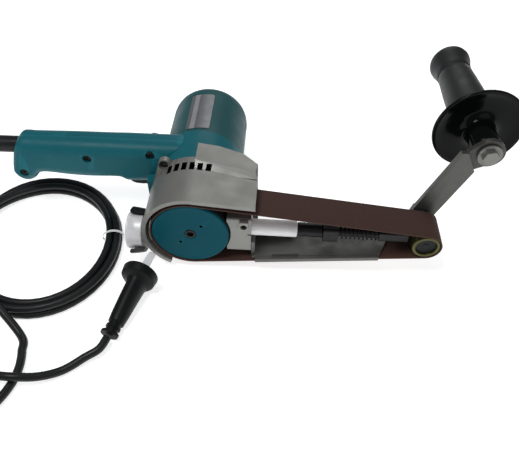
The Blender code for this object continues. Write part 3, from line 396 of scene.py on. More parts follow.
def finish(name, bm, look, place=None, smooth=True):
    """Turn a bmesh in millimetres into a named piece in metres."""
    bmesh.ops.remove_doubles(bm, verts=bm.verts, dist=0.0005)
    bmesh.ops.recalc_face_normals(bm, faces=bm.faces)
    if place is not None:
        bm.transform(place)
    bm.transform(Matrix.Translation(BASE_SHIFT))
    bm.transform(Matrix.Scale(MM, 4))
    mesh = bpy.data.meshes.new(name)
    bm.to_mesh(mesh)
    bm.free()
    mesh.materials.append(LOOKS[look])
    for face in mesh.polygons:
        face.use_smooth = smooth
    return in_scene(name + "_skin", mesh)


def paint_over(piece, look):
    piece.data.materials.clear()
    piece.data.materials.append(LOOKS[look])


def dress(piece, node):
    """Rounds the edges of a finished piece, stands it in for its CAD node and rides it on that body."""
    if node not in SMOOTH:
        edge = piece.modifiers.new("edges", "BEVEL")
        edge.width = EDGE.get(node, PLAIN_EDGE) * MM
        edge.segments = 3
        edge.limit_method = "ANGLE"
        edge.angle_limit = EDGE_ANGLE
        even = piece.modifiers.new("even_shading", "WEIGHTED_NORMAL")
        even.keep_sharp = True
    if node in RELOOK:
        paint_over(piece, RELOOK[node])
    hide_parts(node)
    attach(piece, NODE_BODY[node])


def turned(name, profile, look, place, steps=MID, ring=False):
    """Turn (radius, height) pairs about local Z; a ring closes back on its first pair."""
    bm = bmesh.new()
    rows = []
    for radius, height in profile:
        if radius < 1e-6:
            rows.append([bm.verts.new((0, 0, height))])
            continue
        row = []
        for step in range(steps):
            angle = 2 * math.pi * step / steps
            row.append(bm.verts.new((radius * math.cos(angle), radius * math.sin(angle), height)))
        rows.append(row)
    pairs = list(zip(rows, rows[1:]))
    if ring:
        pairs.append((rows[-1], rows[0]))
    for low, high in pairs:
        join_rows(bm, low, high, steps)
    return finish(name, bm, look, place)


def join_rows(bm, low, high, steps):
    for step in range(steps):
        after = (step + 1) % steps
        if len(low) == 1 and len(high) == 1:
            return
        if len(low) == 1:
            bm.faces.new((low[0], high[step], high[after]))
        elif len(high) == 1:
            bm.faces.new((low[step], low[after], high[0]))
        else:
            bm.faces.new((low[step], low[after], high[after], high[step]))


def slab(name, outline, low, high, look, place=None):
    """Push an X, Z outline through Y from low to high."""
    bm = bmesh.new()
    front = [bm.verts.new((x, low, z)) for x, z in outline]
    back = [bm.verts.new((x, high, z)) for x, z in outline]
    bm.faces.new(front)
    bm.faces.new(list(reversed(back)))
    join_rows(bm, front, back, len(outline))
    return finish(name, bm, look, place, smooth=False)


def loft(name, sections, look, place=None, smooth=True):
    """Join equal-length rings of points and cap both ends."""
    bm = bmesh.new()
    rows = [[bm.verts.new(point) for point in section] for section in sections]
    for low, high in zip(rows, rows[1:]):
        join_rows(bm, low, high, len(low))
    bm.faces.new(list(reversed(rows[0])))
    bm.faces.new(rows[-1])
    return finish(name, bm, look, place, smooth)


def hull(name, points, look, place=None):
    """The smallest convex solid round the points."""
    bm = bmesh.new()
    for point in points:
        bm.verts.new(point)
    bmesh.ops.convex_hull(bm, input=bm.verts)
    loose = [v for v in bm.verts if not v.link_faces]
    bmesh.ops.delete(bm, geom=loose, context="VERTS")
    return finish(name, bm, look, place, smooth=False)


def block(name, xs, ys, zs, look, place=None):
    """A square-edged box between two values along each axis."""
    points = [(x, y, z) for x in xs for y in ys for z in zs]
    return hull(name, points, look, place)


def rounded_box(name, xs, ys, zs, radius, look, place, steps):
    """A box whose edges along X are rounded."""
    section = round_rect(ys[0], ys[1], zs[0], zs[1], radius, steps)
    return loft(name, [[(x, y, z) for y, z in section] for x in xs], look, place, smooth=False)


def round_rect(a0, a1, b0, b1, radius, steps):
    """Rounded rectangle as (a, b) points, counter-clockwise."""
    points = []
    corners = ((a1 - radius, b1 - radius, 0), (a0 + radius, b1 - radius, 90),
               (a0 + radius, b0 + radius, 180), (a1 - radius, b0 + radius, 270))
    for ca, cb, start in corners:
        for step in range(steps + 1):
            angle = math.radians(start + 90 * step / steps)
            points.append((ca + radius * math.cos(angle), cb + radius * math.sin(angle)))
    return points


def arc(cx, cz, radius, start, stop, steps):
    """Points on an arc in X, Z; angles in degrees from +X towards +Z."""
    points = []
    for step in range(steps + 1):
        angle = math.radians(start + (stop - start) * step / steps)
        points.append((cx + radius * math.cos(angle), cz + radius * math.sin(angle)))
    return points


def apply_boolean(target, tool, operation):
    """Apply one Boolean and drop its tool; MANIFOLD is only for where EXACT gives no solid."""
    for solver, finish_from in (("EXACT", "TRANSFER"), ("MANIFOLD", "INDEX")):
        change = target.modifiers.new("change", "BOOLEAN")
        change.object = tool
        change.operation = operation
        change.solver = solver
        change.material_mode = finish_from
        bpy.context.view_layer.update()
        graph = bpy.context.evaluated_depsgraph_get()
        mesh = bpy.data.meshes.new_from_object(target.evaluated_get(graph))
        target.modifiers.remove(change)
        if len(mesh.vertices) > 3:
            break
    old = target.data
    mesh.name = old.name
    target.data = mesh
    bpy.data.meshes.remove(old)
    bpy.data.objects.remove(tool, do_unlink=True)


def cut(target, tool):
    apply_boolean(target, tool, "DIFFERENCE")


def add(target, tool):
    apply_boolean(target, tool, "UNION")


def rod(name, radius, low, high, look, spot, steps, place):
    """A round bar from low to high along the axis that spot gives."""
    if place is not None:
        spot = place @ spot
    return turned(name, [(0, low), (radius, low), (radius, high), (0, high)], look, spot, steps)


def rod_y(name, radius, low, high, look, x=0.0, z=0.0, steps=SMALL, place=None):
    return rod(name, radius, low, high, look, along_y(x, z), steps, place)


def rod_x(name, radius, low, high, look, y=0.0, z=0.0, steps=SMALL, place=None):
    return rod(name, radius, low, high, look, along_x(y, z), steps, place)


def bore(target, *values, **more):
    """Cut a round hole along Y; the values are a rod's."""
    cut(target, rod_y("bore", *values, **more))


# ---- casting

def guard_outline(radius, end, drop):
    """From a right end that is a drop below the top, over and round the left of the pulley."""
    return [(end, radius - drop)] + arc(0, 0, radius, 84, 240, GUARD_STEPS)


def cavity_outline():
    inside = GUARD_RADIUS - GUARD_WALL
    return guard_outline(inside, 90, 9.5) + [(-34, -62), (90, -62)]


def build_casting():
    outer = guard_outline(GUARD_RADIUS, GUARD_END, 5.6)
    outer += [(8, -31), (46, -25), (GUARD_END, -17)]
    casting = slab("gear_casting", outer, GUARD_FRONT, WALL_BACK, "cast")
    cut(casting, slab("cavity", cavity_outline(), -10, WALL_FRONT, "cast"))
    add(casting, rod_y("disc", GUARD_RADIUS - 0.4, WALL_FRONT + 0.3, SKIRT_BACK, "cast", steps=BIG))
    add(casting, build_crest())
    add(casting, rod_y("lug", 5.4, LUG_FRONT, SKIRT_BACK - 0.5, "cast", x=-24.9, z=34.1))
    gusset = [(-30.0, 35.0), (-38.6, 9.0), (-25.0, 22.0), (-20.0, 32.0)]
    add(casting, slab("gusset", gusset, 44.0, SKIRT_BACK - 0.6, "cast"))
    add(casting, rod_y("foot", 5.0, 44.5, SKIRT_BACK - 0.7, "cast", x=-34.0, z=-21.0))
    # the walls of this bore take the near-black painted shade
    bore(casting, 35.9, WALL_BACK, 80, "cavity", steps=BIG)
    add(casting, rod_y("boss", 13.0, 30.8, 45.0, "cast", steps=MID))
    bore(casting, 10.8, 35.7, 50, "cast", steps=MID)
    bore(casting, 5.8, 20, 40, "cast")
    bore(casting, 3.9, 40.0, 50.1, "cast", *CASTING_SCREW)
    add_port_boss(casting)
    cut_vents(casting)


def build_crest():
    """The raised crest over the gears, with its sloped front and its curved rear edge."""
    points = [(2, 35, 38), (2, 44, 43.6), (2, 66, 43.6), (2, 66, 34), (2, 35, 33),
              (20, 63.5, 42.6), (20, 63.5, 34), (41, 57, 40.4), (41, 57, 30),
              (54, 31, 35.2), (52, 37, 38.2), (53.7, 46.5, 38.2), (53.7, 46.5, 28), (54, 31, 28)]
    crest = hull("crest", points, "cast")
    bore(crest, COLLAR_RADIUS + 0.5, SKIRT_BACK - 0.2, 80, "cast", steps=BIG)
    cut(crest, slab("belt_room", cavity_outline(), -10, WALL_FRONT, "cast"))
    return crest


def add_port_boss(casting):
    boss = rod_x("port_boss", 15.0, PORT_ROOT, -30.0, "cast", PORT_Y, PORT_Z, steps=MID)
    bore(boss, GUARD_RADIUS - 1.5, -30, 60, "cast", steps=BIG)
    add(casting, boss)
    cut(casting, rod_x("port_bore", 11.6, -60, -20, "cast", PORT_Y, PORT_Z, steps=MID))


def cut_vents(casting):
    """Six slots in a row; the last two are on the crest's slope and are shallower."""
    for index, back in enumerate((45.2, 45.2, 45.2, 45.2, 41.4, 41.0)):
        angle = math.radians(119.7 - 9.7 * index)
        spin = Matrix.Rotation(-(angle - math.pi / 2), 4, "Y")
        # the slot walls take the near-black painted shade
        cut(casting, block("vent", (-2.2, 2.2), (35.4, back), (34.0, 46.0), "cavity", spin))


def build_casting_screw():
    face = LUG_FRONT + 1.0
    profile = [(0, face), (3.4, face), (3.6, face + 0.4), (3.6, 49.8), (0, 49.8)]
    screw = turned("casting_screw", profile, "dark_steel", along_y(*CASTING_SCREW), TINY)
    cut(screw, block("slot", (-28.4, -22.4), (45, face + 0.9), (34.3, 35.3), "steel"))


def build_collar():
    profile = [(34.0, 52.3), (36.6, 52.3), (COLLAR_RADIUS, 53.4), (COLLAR_RADIUS, 90.6),
               (37.0, 92.0), (34.0, 92.0)]
    collar = turned("motor_collar", profile, "teal", along_y(0, 0), BIG, ring=True)
    heel = block("heel", (-44.6, -28.0), (53.0, 63.4), (-21.0, 9.0), "teal")
    bore(heel, 35.5, 40, 80, "teal", steps=BIG)
    add(collar, heel)


def cut_end_vents(housing):
    for row, reach in enumerate((18.0, 22.0, 24.0, 22.0, 18.0)):
        z = -16.0 + 8.0 * row
        for side in (-1, 1):
            near, far = sorted((side * 14.0, side * reach))
            cut(housing, block("slot", (near, far), (157, 170), (z - 1.4, z + 1.4), "teal"))


# ---- dust port, motor and pulley

def build_dust_port():
    root = PORT_ROOT - GAP
    profile = [(9.4, -37.0), (11.3, -37.0), (11.3, root), (14.1, root), (14.6, root - 0.5), (14.6, -47.0),
               (14.9, -49.4), (15.6, -52.0), (16.3, -54.0), (16.2, -54.9), (15.6, -55.5), (14.2, -55.5),
               (13.3, -54.6), (12.4, -51.0), (11.4, -44.0)]
    turned("dust_port", profile, "port", along_x(PORT_Y, PORT_Z), MID, ring=True)
    build_latch("port_latch_top", LATCH_MIDDLE)
    build_latch("port_latch_bottom", LATCH_MIDDLE + 180.0)


def build_latch(name, middle):
    """A curved clip over the joint between the port and the casting."""
    ring = ((-52.6, 17.2), (-53.2, 19.6), (-52.6, 20.4), (-49.0, 20.0), (-44.0, 19.2), (-41.2, 18.6),
            (-40.8, 18.0), (-40.8, 15.4), (-47.0, 15.7))
    sections = []
    for step in range(LATCH_STEPS + 1):
        angle = math.radians(middle + LATCH_REACH * (2 * step / LATCH_STEPS - 1))
        cos, sin = math.cos(angle), math.sin(angle)
        sections.append([(x, PORT_Y + radius * cos, PORT_Z + radius * sin) for x, radius in ring])
    loft(name, sections, "black_plastic")


def build_housing():
    profile = [(BARREL_BORE, BARREL_FRONT), (BARREL_RADIUS - 0.3, BARREL_FRONT),
               (BARREL_RADIUS, BARREL_FRONT + 0.4), (BARREL_RADIUS, 151.0), (36.45, 155.0), (36.1, 158.0),
               (35.4, 160.6), (34.4, 162.7), (33.0, 164.2), (31.2, 165.2), (29.0, 165.8), (26.0, BARREL_END),
               (0.0, BARREL_END), (0.0, 158.8), (26.0, 158.8), (30.5, 156.0), (BARREL_BORE, 151.0)]
    housing = turned("motor_housing", profile, "barrel", along_y(0, 0), BIG, ring=True)
    for side in (-1, 1):
        near, far = sorted((side * 30.0, side * 35.2))
        pad = rod_x("brush_pad", 8.6, near, far, "barrel", BRUSH_Y, 0.0)
        bore(pad, 34.6, 120, 170, "barrel", steps=BIG)
        add(housing, pad)
    cut(housing, rod_x("brush_hole", 6.3, -60, 60, "barrel", BRUSH_Y, 0.0))
    cut_end_vents(housing)


def build_pulley():
    turned("pulley_tyre", [(29.8, 2.8), (31.6, 2.8), (TYRE_RADIUS, 3.8), (TYRE_RADIUS, 27.8),
                           (31.6, 28.8), (29.8, 28.8)], "tyre", along_y(0, 0), BIG, ring=True)
    cover = turned("pulley_cover", [(5.4, 0.55), (6.4, 0.3), (12.0, 0.34), (20.0, 0.34), (28.2, 0.25),
                                    (29.0, 0.0), (29.6, -0.1), (30.6, -0.1), (31.4, 0.2), (31.8, 0.8),
                                    (31.8, 2.2), (3.5, 2.2), (3.5, 1.9)], "disc", along_y(0, 0), BIG,
                   ring=True)
    for x, z in ((9.6, 9.6), (-8.8, -9.4)):
        bore(cover, 1.3, -3, 5, "dark_steel", x=x, z=z, steps=TINY)
    screw = turned("pulley_screw", [(0, 0.3), (4.2, 0.3), (4.6, 0.6), (2.9, 2.3), (2.9, 12.4), (0, 12.4)],
                   "dark_steel", along_y(0, 0), SMALL)
    cut(screw, slab("socket", arc(0, 0, 3.2, 0, 300, 5), -2, 2.6, "dark_steel"))


# ---- belt arm

def build_belt():
    """The closed band: grit outside, woven cloth inside, edges slightly thinned."""
    back = BELT_FRONT + BELT_WIDTH
    rim = 0.35
    inner, outer = GAP, GAP + BELT_THICK
    section = ((outer - 0.25, BELT_FRONT), (outer, BELT_FRONT + rim), (outer, back - rim),
               (outer - 0.25, back), (inner + 0.15, back), (inner, back - rim), (inner, BELT_FRONT + rim),
               (inner + 0.15, BELT_FRONT))
    bm = bmesh.new()
    loops = [[bm.verts.new((x, y, z)) for x, z in band_loop(offset)] for offset, y in section]
    count = len(loops[0])
    for number, (a, b) in enumerate(zip(loops, loops[1:] + loops[:1])):
        for i in range(count):
            j = (i + 1) % count
            face = bm.faces.new((a[i], a[j], b[j], b[i]))
            face.material_index = 1 if number in (4, 5, 6) else 0
    belt = finish("abrasive_belt", bm, "belt", ARM)
    belt.data.materials.append(LOOKS["belt_back"])


def build_holder():
    holder = rounded_box("arm_holder", (30.0, 50.0), (3.0, HOLDER_BACK), (-20.0, 18.0), 2.0, "cast", ARM, 8)
    plate = arc(0, 0, 19.0, 40, 320, 60) + [(50.0, -19.0), (50.0, 17.0)]
    add(holder, slab("plate", plate, 31.1, 34.2, "cast", ARM))
    bore(holder, 13.3, 25, 40, "cast", steps=MID)
    bore(holder, TYRE_RADIUS + 0.9, -10, HOLDER_BACK, "cast", steps=BIG)
    cut(holder, rod_x("tube_hole", TUBE_RADIUS + GAP, 40.0, 60.0, "cast", ARM_Y, 0.0, MID, ARM))
    add(holder, block("lug", (40.5, 47.5), (-1.0, 4.0), (7.6, 17.6), "cast", ARM))
    bore(holder, 2.7, -5, 10.5, "cast", x=44, z=12.6, steps=TINY, place=ARM)
    cut(holder, block("slit", (47.0, 60.0), (-5.0, 12.0), (-0.7, 0.7), "cast", ARM))
    screw = rod_y("holder_screw", 2.4, 0.6, 10.0, "dark_steel", x=44, z=12.6, steps=TINY, place=ARM)
    cut(screw, slab("socket", arc(44, 12.6, 1.4, 0, 300, 5), -2, 2.4, "dark_steel", ARM))


def build_arm():
    spot = ARM @ along_x(ARM_Y, 0.0)
    tube = [(ROD_BORE, 41.0), (TUBE_RADIUS - 0.5, 41.0), (TUBE_RADIUS, 41.5), (TUBE_RADIUS, 87.3),
            (TUBE_RADIUS - 0.6, 88.0), (ROD_BORE, 88.0)]
    turned("arm_tube", tube, "silver", spot, MID, ring=True)
    sleeve = [(ROD_BORE, 88.3), (5.6, 88.3), (6.0, 88.8), (6.0, 95.0), (5.7, 95.3), (5.7, 96.0), (6.0, 96.3),
              (6.0, 108.6), (5.6, 109.0), (ROD_BORE, 109.0)]
    turned("arm_sleeve", sleeve, "dark_steel", spot, MID, ring=True)
    nut = rounded_box("tension_nut", (109.3, 121.8), (ARM_Y - 7.0, ARM_Y + 7.0), (-7.0, 7.0), 2.2,
                      "dark_steel", ARM, 8)
    cut(nut, rod_x("bore", ROD_BORE, 100, 130, "dark_steel", ARM_Y, 0.0, SMALL, ARM))
    build_spring()
    build_platen()
    build_fork()
    spot = ARM @ along_y(CENTRES, 0)
    turned("idler_axle", [(0, 3.8), (2.7, 3.8), (3.1, 4.2), (3.1, 47.2), (2.7, 47.6), (0, 47.6)],
           "steel", spot, SMALL)
    turned("idler_roller", [(8.6, 0.0), (9.0, -0.5), (9.6, -0.6), (10.6, -0.6), (11.2, -0.3),
                            (ROLLER_RADIUS, 0.4), (ROLLER_RADIUS, 28.0), (10.9, 28.8), (3.5, 28.8),
                            (3.5, 22.0), (8.6, 22.0)], "brass", spot, BIG, ring=True)
    turned("idler_cap", [(0, 1.2), (2.4, 1.2), (2.8, 1.6), (7.4, 1.6), (8.2, 1.3), (8.2, 3.4), (0, 3.4)],
           "black_plastic", spot, MID)


def build_spring():
    """Nine turns of round wire with open ends."""
    turns, wire, mean, sides, per_turn = 9, 0.8, 5.35, 12, 40
    start, stop = SPRING_NEAR + wire, SPRING_FAR - wire
    pitch = (stop - start) / (2 * math.pi * turns)
    sections = []
    for step in range(turns * per_turn + 1):
        angle = 2 * math.pi * step / per_turn
        radial = Vector((0, math.cos(angle), math.sin(angle)))
        centre = Vector((start + pitch * angle, ARM_Y, 0)) + mean * radial
        along = Vector((pitch, -mean * radial.z, mean * radial.y)).normalized()
        side = along.cross(radial)
        turn = [2 * math.pi * k / sides for k in range(sides)]
        sections.append([centre + wire * (math.cos(a) * radial + math.sin(a) * side) for a in turn])
    loft("tension_spring", sections, "dark_steel", ARM)


def build_fork():
    fork = rounded_box("idler_fork", (156.0, 180.0), (ARM_Y - 5.0, ARM_Y + 5.0), (-4.6, 4.6), 1.4,
                       "dark_steel", ARM, 6)
    add(fork, rod_x("rod", ROD_RADIUS, 60.0, 158.0, "dark_steel", ARM_Y, 0.0, SMALL, ARM))
    add(fork, block("cross", (171.0, 179.0), (ARM_Y + 3.0, 34.6), (-4.2, 4.2), "dark_steel", ARM))
    side = [(169.0, -6.0), (178.0, -8.0)] + arc(CENTRES, 0, 9.0, -90, 90, 32) + [(178.0, 8.0), (169.0, 6.0)]
    add(fork, slab("side", side, 31.0, 35.0, "dark_steel", ARM))
    bore(fork, 3.4, 25, 40, "dark_steel", x=CENTRES, place=ARM)


def mix(a, b, t):
    """The point a share t of the way from a to b."""
    return tuple(p + (q - p) * t for p, q in zip(a, b))


def band_loop(offset):
    """Loop round pulley and roller, offset outwards from the bare wheels."""
    big = TYRE_RADIUS + offset
    small = ROLLER_RADIUS + offset
    lean = math.degrees(math.asin((big - small) / CENTRES))
    loop = arc(0, 0, big, 90 - lean, 270 + lean, WHEEL_STEPS)
    end = arc(CENTRES, 0, small, -90 + lean, 90 - lean, ROLLER_STEPS)
    low_start, low_stop = loop[-1], end[0]
    high_start, high_stop = end[-1], loop[0]
    low = [mix(low_start, low_stop, k / 4) for k in range(1, 4)]
    high = [mix(high_start, high_stop, k / 4) for k in range(1, 4)]
    return loop + low + end + high


def build_platen():
    """The backing plate just above the lower belt run, its web, foot and front lip."""
    lean = math.asin((TYRE_RADIUS - ROLLER_RADIUS) / CENTRES)
    slope = math.tan(lean)
    under = TYRE_RADIUS / math.cos(lean) - GAP * 2

    def bottom(x):
        return -under + slope * x

    def strip(name, corners, low, high):
        points = [(x, y, bottom(x) + up) for x, y in corners for up in (low, high)]
        return hull(name, points, "steel", ARM)

    platen = strip("platen", ((51.0, 1.0), (51.0, 28.5), (158.0, 1.0), (170.0, 28.5)), 0.0, 2.2)
    web = [(x, y, z) for y in (25.9, 28.3) for x, z in ((51.6, bottom(51.6) + 1.0), (51.6, -9.6),
                                                       (92.0, bottom(92.0) + 1.0), (84.0, -11.0))]
    add(platen, hull("web", web, "steel", ARM))
    add(platen, block("foot", (50.4, 53.4), (4.0, 28.9), (bottom(52) + 0.5, -9.9), "steel", ARM))
    add(platen, strip("edge", ((68.0, 1.3), (68.0, 2.7), (90.0, 1.3), (90.0, 2.7)), 1.2, 4.6))
    add(platen, strip("bridge", ((54.0, -2.2), (54.0, 3.0), (157.0, -2.2), (157.0, 3.0)), 0.4, 1.9))
    add(platen, strip("lip", ((54.0, -2.4), (54.0, -1.4), (157.0, -2.4), (157.0, -1.4)), -1.9, 1.7))


def strap_point(t, side):
    """A point t along the strap from its pivot and side across it, in X, Z."""
    cos, sin = math.cos(STRAP_ANGLE), math.sin(STRAP_ANGLE)
    return (STRAP_PIVOT.x + t * cos + side * sin, STRAP_PIVOT.z + t * sin - side * cos)


def build_strap():
    half = 10.0
    outline = []
    for step in range(STRAP_STEPS + 1):
        angle = math.pi * step / STRAP_STEPS
        outline.append(strap_point(-half * math.sin(angle), -half * math.cos(angle)))
    outline += [strap_point(60.0, half), strap_point(73.0, -5.0), strap_point(71.0, -half)]
    strap = slab("grip_strap", outline, 36.0, 40.2, "steel")
    tab = arc(BOLT_X, BOLT_Z, 12.4, -95, 120, TAB_STEPS)
    tab += [strap_point(72.5, -4.5), strap_point(58.0, 2.5), strap_point(58.5, half - 1.0)]
    add(strap, slab("tab", tab, 39.4, 43.6, "steel"))
    x, z = STRAP_PIVOT.x, STRAP_PIVOT.z
    bore(strap, 3.4, 30, 50, "steel", x, z)
    bore(strap, 4.4, 30, 50, "steel", BOLT_X, BOLT_Z)
    nut = slab("strap_nut", arc(x, z, 7.6, 15, 315, 5), 40.5, 46.4, "steel")
    bore(nut, 3.4, 30, 60, "steel", x, z)


def grip_lean():
    """Leans the grip a little towards the motor, about its bolt."""
    bolt = Vector((BOLT_X, BOLT_Y, BOLT_Z))
    return Matrix.Translation(bolt) @ Matrix.Rotation(GRIP_LEAN, 4, "Z") @ Matrix.Translation(-bolt)


def build_grip():
    lean = grip_lean()
    bolt = slab("grip_bolt", arc(BOLT_X, BOLT_Z, 6.6, 10, 310, 5), 33.2, 37.0, "steel", lean)
    add(bolt, rod_y("washer", 9.6, 36.8, 38.6, "steel", x=BOLT_X, z=BOLT_Z, place=lean))
    add(bolt, rod_y("shank", 4.0, 38.0, 95.0, "steel", x=BOLT_X, z=BOLT_Z, place=lean))
    spot = lean @ along_y(BOLT_X, BOLT_Z)
    grip = [(4.3, 81.0), (13.5, 81.0), (16.4, 81.6), (17.3, 91.0), (17.5, 103.0), (17.0, 116.0),
            (16.2, 132.0), (15.4, 144.0), (15.2, 150.0), (14.6, 150.6), (14.6, 151.6), (15.2, 152.2),
            (15.5, 157.0), (16.6, 164.0), (17.9, 168.5), (18.3, 172.0), (17.6, 175.0), (15.0, 176.8),
            (0, 177.2), (0, 98.0), (4.3, 98.0)]
    turned("side_grip", grip, "grip", spot, MID, ring=True)
    flange = [(4.3, 44.6), (10.5, 44.6), (11.5, 46.4), (11.5, 67.0), (13.6, 70.4), (20.0, 71.6),
              (28.0, 72.2), (33.0, 71.2), (36.4, 69.4), (37.2, 70.0), (37.3, 71.8), (34.6, 74.8),
              (29.0, 77.0), (22.0, 78.0), (17.0, 80.4), (4.3, 80.6)]
    turned("grip_flange", flange, "gloss_black", spot, BIG, ring=True)


# ---- handle and controls

HANDLE_STATIONS = (
    # x, bottom, top, half depth, corner
    (-172.0, 2.0, 30.0, 9.5, 9.0),
    (-170.0, -4.0, 34.4, 12.4, 10.0),
    (-166.0, -8.4, 36.6, 13.7, 10.4),
    (-160.0, -9.8, 37.0, 14.0, 10.6),
    (-154.0, -7.0, 37.0, 14.0, 11.0),
    (-149.0, -1.6, 37.0, 14.0, 11.4),
    (-140.0, 0.0, 37.0, 14.2, 11.6),
    (-120.0, -1.8, 37.0, 14.8, 12.0),
    (-100.0, -2.6, 36.9, 15.0, 12.0),
    (-80.0, -2.2, 36.7, 15.0, 12.0),
    (-72.0, -2.6, 36.6, 15.0, 11.6),
    (-66.0, -5.6, 36.5, 15.0, 11.2),
    (-44.0, -5.0, 36.2, 15.0, 11.2),
    (-24.0, -4.6, 36.0, 15.0, 11.2),
    (-8.0, -4.6, 35.8, 15.0, 11.2),
)
TRIGGER_X = (-67.0, -45.5)
SCREWS = ((-160.0, 4.0), (-98.0, 23.0), (-41.5, 28.0))
SHELL = 2.6
BETWEEN = 4


def eased_stations():
    """The handle's stations with smooth ones between them."""
    rows = []
    whole = HANDLE_STATIONS
    for before, a, b, after in zip(whole[:1] + whole, whole, whole[1:], whole[2:] + whole[-1:]):
        span = b[0] - a[0]
        leave = span / (b[0] - before[0])
        arrive = span / (after[0] - a[0])
        for step in range(BETWEEN):
            t = step / BETWEEN
            row = [a[0] + span * t]
            for p, q, r, s in list(zip(before, a, b, after))[1:]:
                row.append((2 * t ** 3 - 3 * t ** 2 + 1) * q + (t ** 3 - 2 * t ** 2 + t) * leave * (r - p)
                           + (3 * t ** 2 - 2 * t ** 3) * r + (t ** 3 - t ** 2) * arrive * (s - q))
            rows.append(row)
    return rows + [whole[-1]]


def leaned(x, z):
    """Leans the handle's end face over towards the motor as it rises."""
    share = min(max((LEAN_STOP - x) / LEAN_RUN, 0.0), 1.0)
    return x + END_LEAN * share * max(z - LEAN_FROM, 0.0)


def handle_ring(station, shrink, push=0.0):
    """The handle's outline at a station, drawn in by shrink and moved along X by push."""
    x, low, high, half, corner = station
    section = round_rect(HANDLE_Y - half + shrink, HANDLE_Y + half - shrink, low + shrink,
                         high - shrink, max(corner - shrink, 1.5), 14)
    return [(leaned(x, z) + push, y, z) for y, z in section]


def build_hollow():
    rows = [handle_ring(station, SHELL) for station in eased_stations()[2 * BETWEEN:]]
    rows.append(handle_ring(HANDLE_STATIONS[-1], SHELL, 6.0))
    return loft("hollow", rows, "teal")


def build_handle():
    halves = (("handle_front", 40.0, HANDLE_Y - GAP / 2), ("handle_rear", HANDLE_Y + GAP / 2, 120.0))
    trigger_room = (TRIGGER_X[0] - 0.6, TRIGGER_X[1] + 0.6)
    for name, low, high in halves:
        half = loft(name, [handle_ring(station, 0.0) for station in eased_stations()], "teal")
        cut(half, build_hollow())
        for x, z in SCREWS:
            add(half, rod_y("post", 5.4, HANDLE_Y - 12.5, HANDLE_Y + 12.5, "teal", x=x, z=z))
        apply_boolean(half, block("side", (-200, 60), (low, high), (-60, 80), "teal"), "INTERSECT")
        bore(half, COLLAR_RADIUS + GAP, 30, 140, "teal", steps=BIG)
        for x, z in SCREWS:
            bore(half, 4.0, 50, 68.4, "teal", x=x, z=z)
        cut(half, block("trigger_slot", trigger_room, (72.4, 85.6), (-20, 4), "teal"))
        cut(half, rod_x("cord_hole", 7.8, -180, -155, "teal", HANDLE_Y, CORD_Z))
        if name == "handle_rear":
            bore(half, 4.9, 85, 120, "teal", x=-62, z=16)
    for index, (x, z) in enumerate(SCREWS):
        screw = turned("handle_screw_%d" % (index + 1),
                       [(0, 66.0), (2.6, 66.0), (3.3, 66.2), (3.6, 66.7), (3.6, 68.1), (1.9, 68.1),
                        (1.9, 89.0), (0, 89.0)], "dark_steel", along_y(x, z), TINY)
        for wide, high in ((2.2, 0.5), (0.5, 2.2)):
            cut(screw, block("slot", (x - wide, x + wide), (65, 67.2), (z - high, z + high), "dark_steel"))


def build_controls():
    outline = [(-66.8, 0.0), (-66.6, -6.0), (-65.6, -8.8), (-63.4, -10.6), (-60.0, -11.6), (-55.0, -12.0),
               (-50.6, -11.7), (-47.6, -10.8), (-46.2, -9.4), (-45.8, -7.6), (-45.8, 6.0), (-66.8, 6.0)]
    slab("trigger", outline, 72.9, 85.1, "black_plastic")
    turned("lock_button", [(0, 89.0), (4.0, 89.0), (4.0, 91.6), (4.5, 91.8), (4.5, 96.2), (4.0, 96.9),
                           (3.0, 97.1), (0, 96.8)], "black_plastic", along_y(-62, 16), SMALL)


LABEL_ANGLES = (113.0, 79.0)
LABEL_STEPS = 24
LABEL_BAND = (4, 9)


def build_nameplate():
    """A blank foil plate with a plain bright band along it."""
    near, far = BARREL_RADIUS + GAP * 0.4, BARREL_RADIUS + 0.6
    front, back, corner = 96.0, 149.0, 1.6
    bm = bmesh.new()
    rows = []
    for step in range(LABEL_STEPS + 1):
        angle = math.radians(LABEL_ANGLES[0] + (LABEL_ANGLES[1] - LABEL_ANGLES[0]) * step / LABEL_STEPS)
        trim = corner if step in (0, LABEL_STEPS) else 0.0
        cos, sin = math.cos(angle), math.sin(angle)
        row = [(near, front + trim), (near, back - trim), (far, back - trim), (far, front + trim)]
        rows.append([bm.verts.new((r * cos, y, r * sin)) for r, y in row])
    for step, (low, high) in enumerate(zip(rows, rows[1:])):
        for k in range(4):
            face = bm.faces.new((low[k], low[(k + 1) % 4], high[(k + 1) % 4], high[k]))
            face.material_index = 1 if LABEL_BAND[0] <= step < LABEL_BAND[1] else 0
    bm.faces.new(list(reversed(rows[0])))
    bm.faces.new(rows[-1])
    label = finish("nameplate", bm, "label", smooth=False)
    label.data.materials.append(LOOKS["label_band"])


# ---- mains lead

# X, Y and the height above a cord that lies on the table
FEED_ROUTE = (
    (-208.9, 79.0, 61.9), (-217.0, 79.0, 59.4), (-227.0, 78.0, 45.6), (-234.6, 75.0, 30.6),
    (-240.2, 69.0, 15.8), (-243.0, 58.0, 4.8), (-241.0, 44.0, 0.0), (-234.0, 28.0, 0.0),
    (-224.0, 10.0, 0.0), (-219.6, 0.0, 0.0),
)
TAIL_ROUTE = (
    (-133.2, -67.0, 0.0), (-126.0, -78.0, 0.0), (-120.0, -92.0, 0.0), (-117.0, -108.0, 0.0),
    (-119.0, -124.0, 0.0), (-127.0, -140.0, 0.0), (-142.0, -154.0, 0.0), (-162.0, -161.0, 0.0),
    (-182.0, -157.0, 0.0), (-195.0, -143.0, 0.0), (-194.0, -127.0, 0.0), (-180.0, -115.0, 0.0),
    (-160.0, -112.0, 0.0), (-140.0, -116.0, 4.5), (-118.0, -119.0, 7.6), (-100.0, -115.6, 3.0),
    (-84.0, -108.0, 0.0), (-70.0, -97.0, 1.0), (-60.6, -90.0, 2.3), (-56.4, -79.9, 3.2),
)

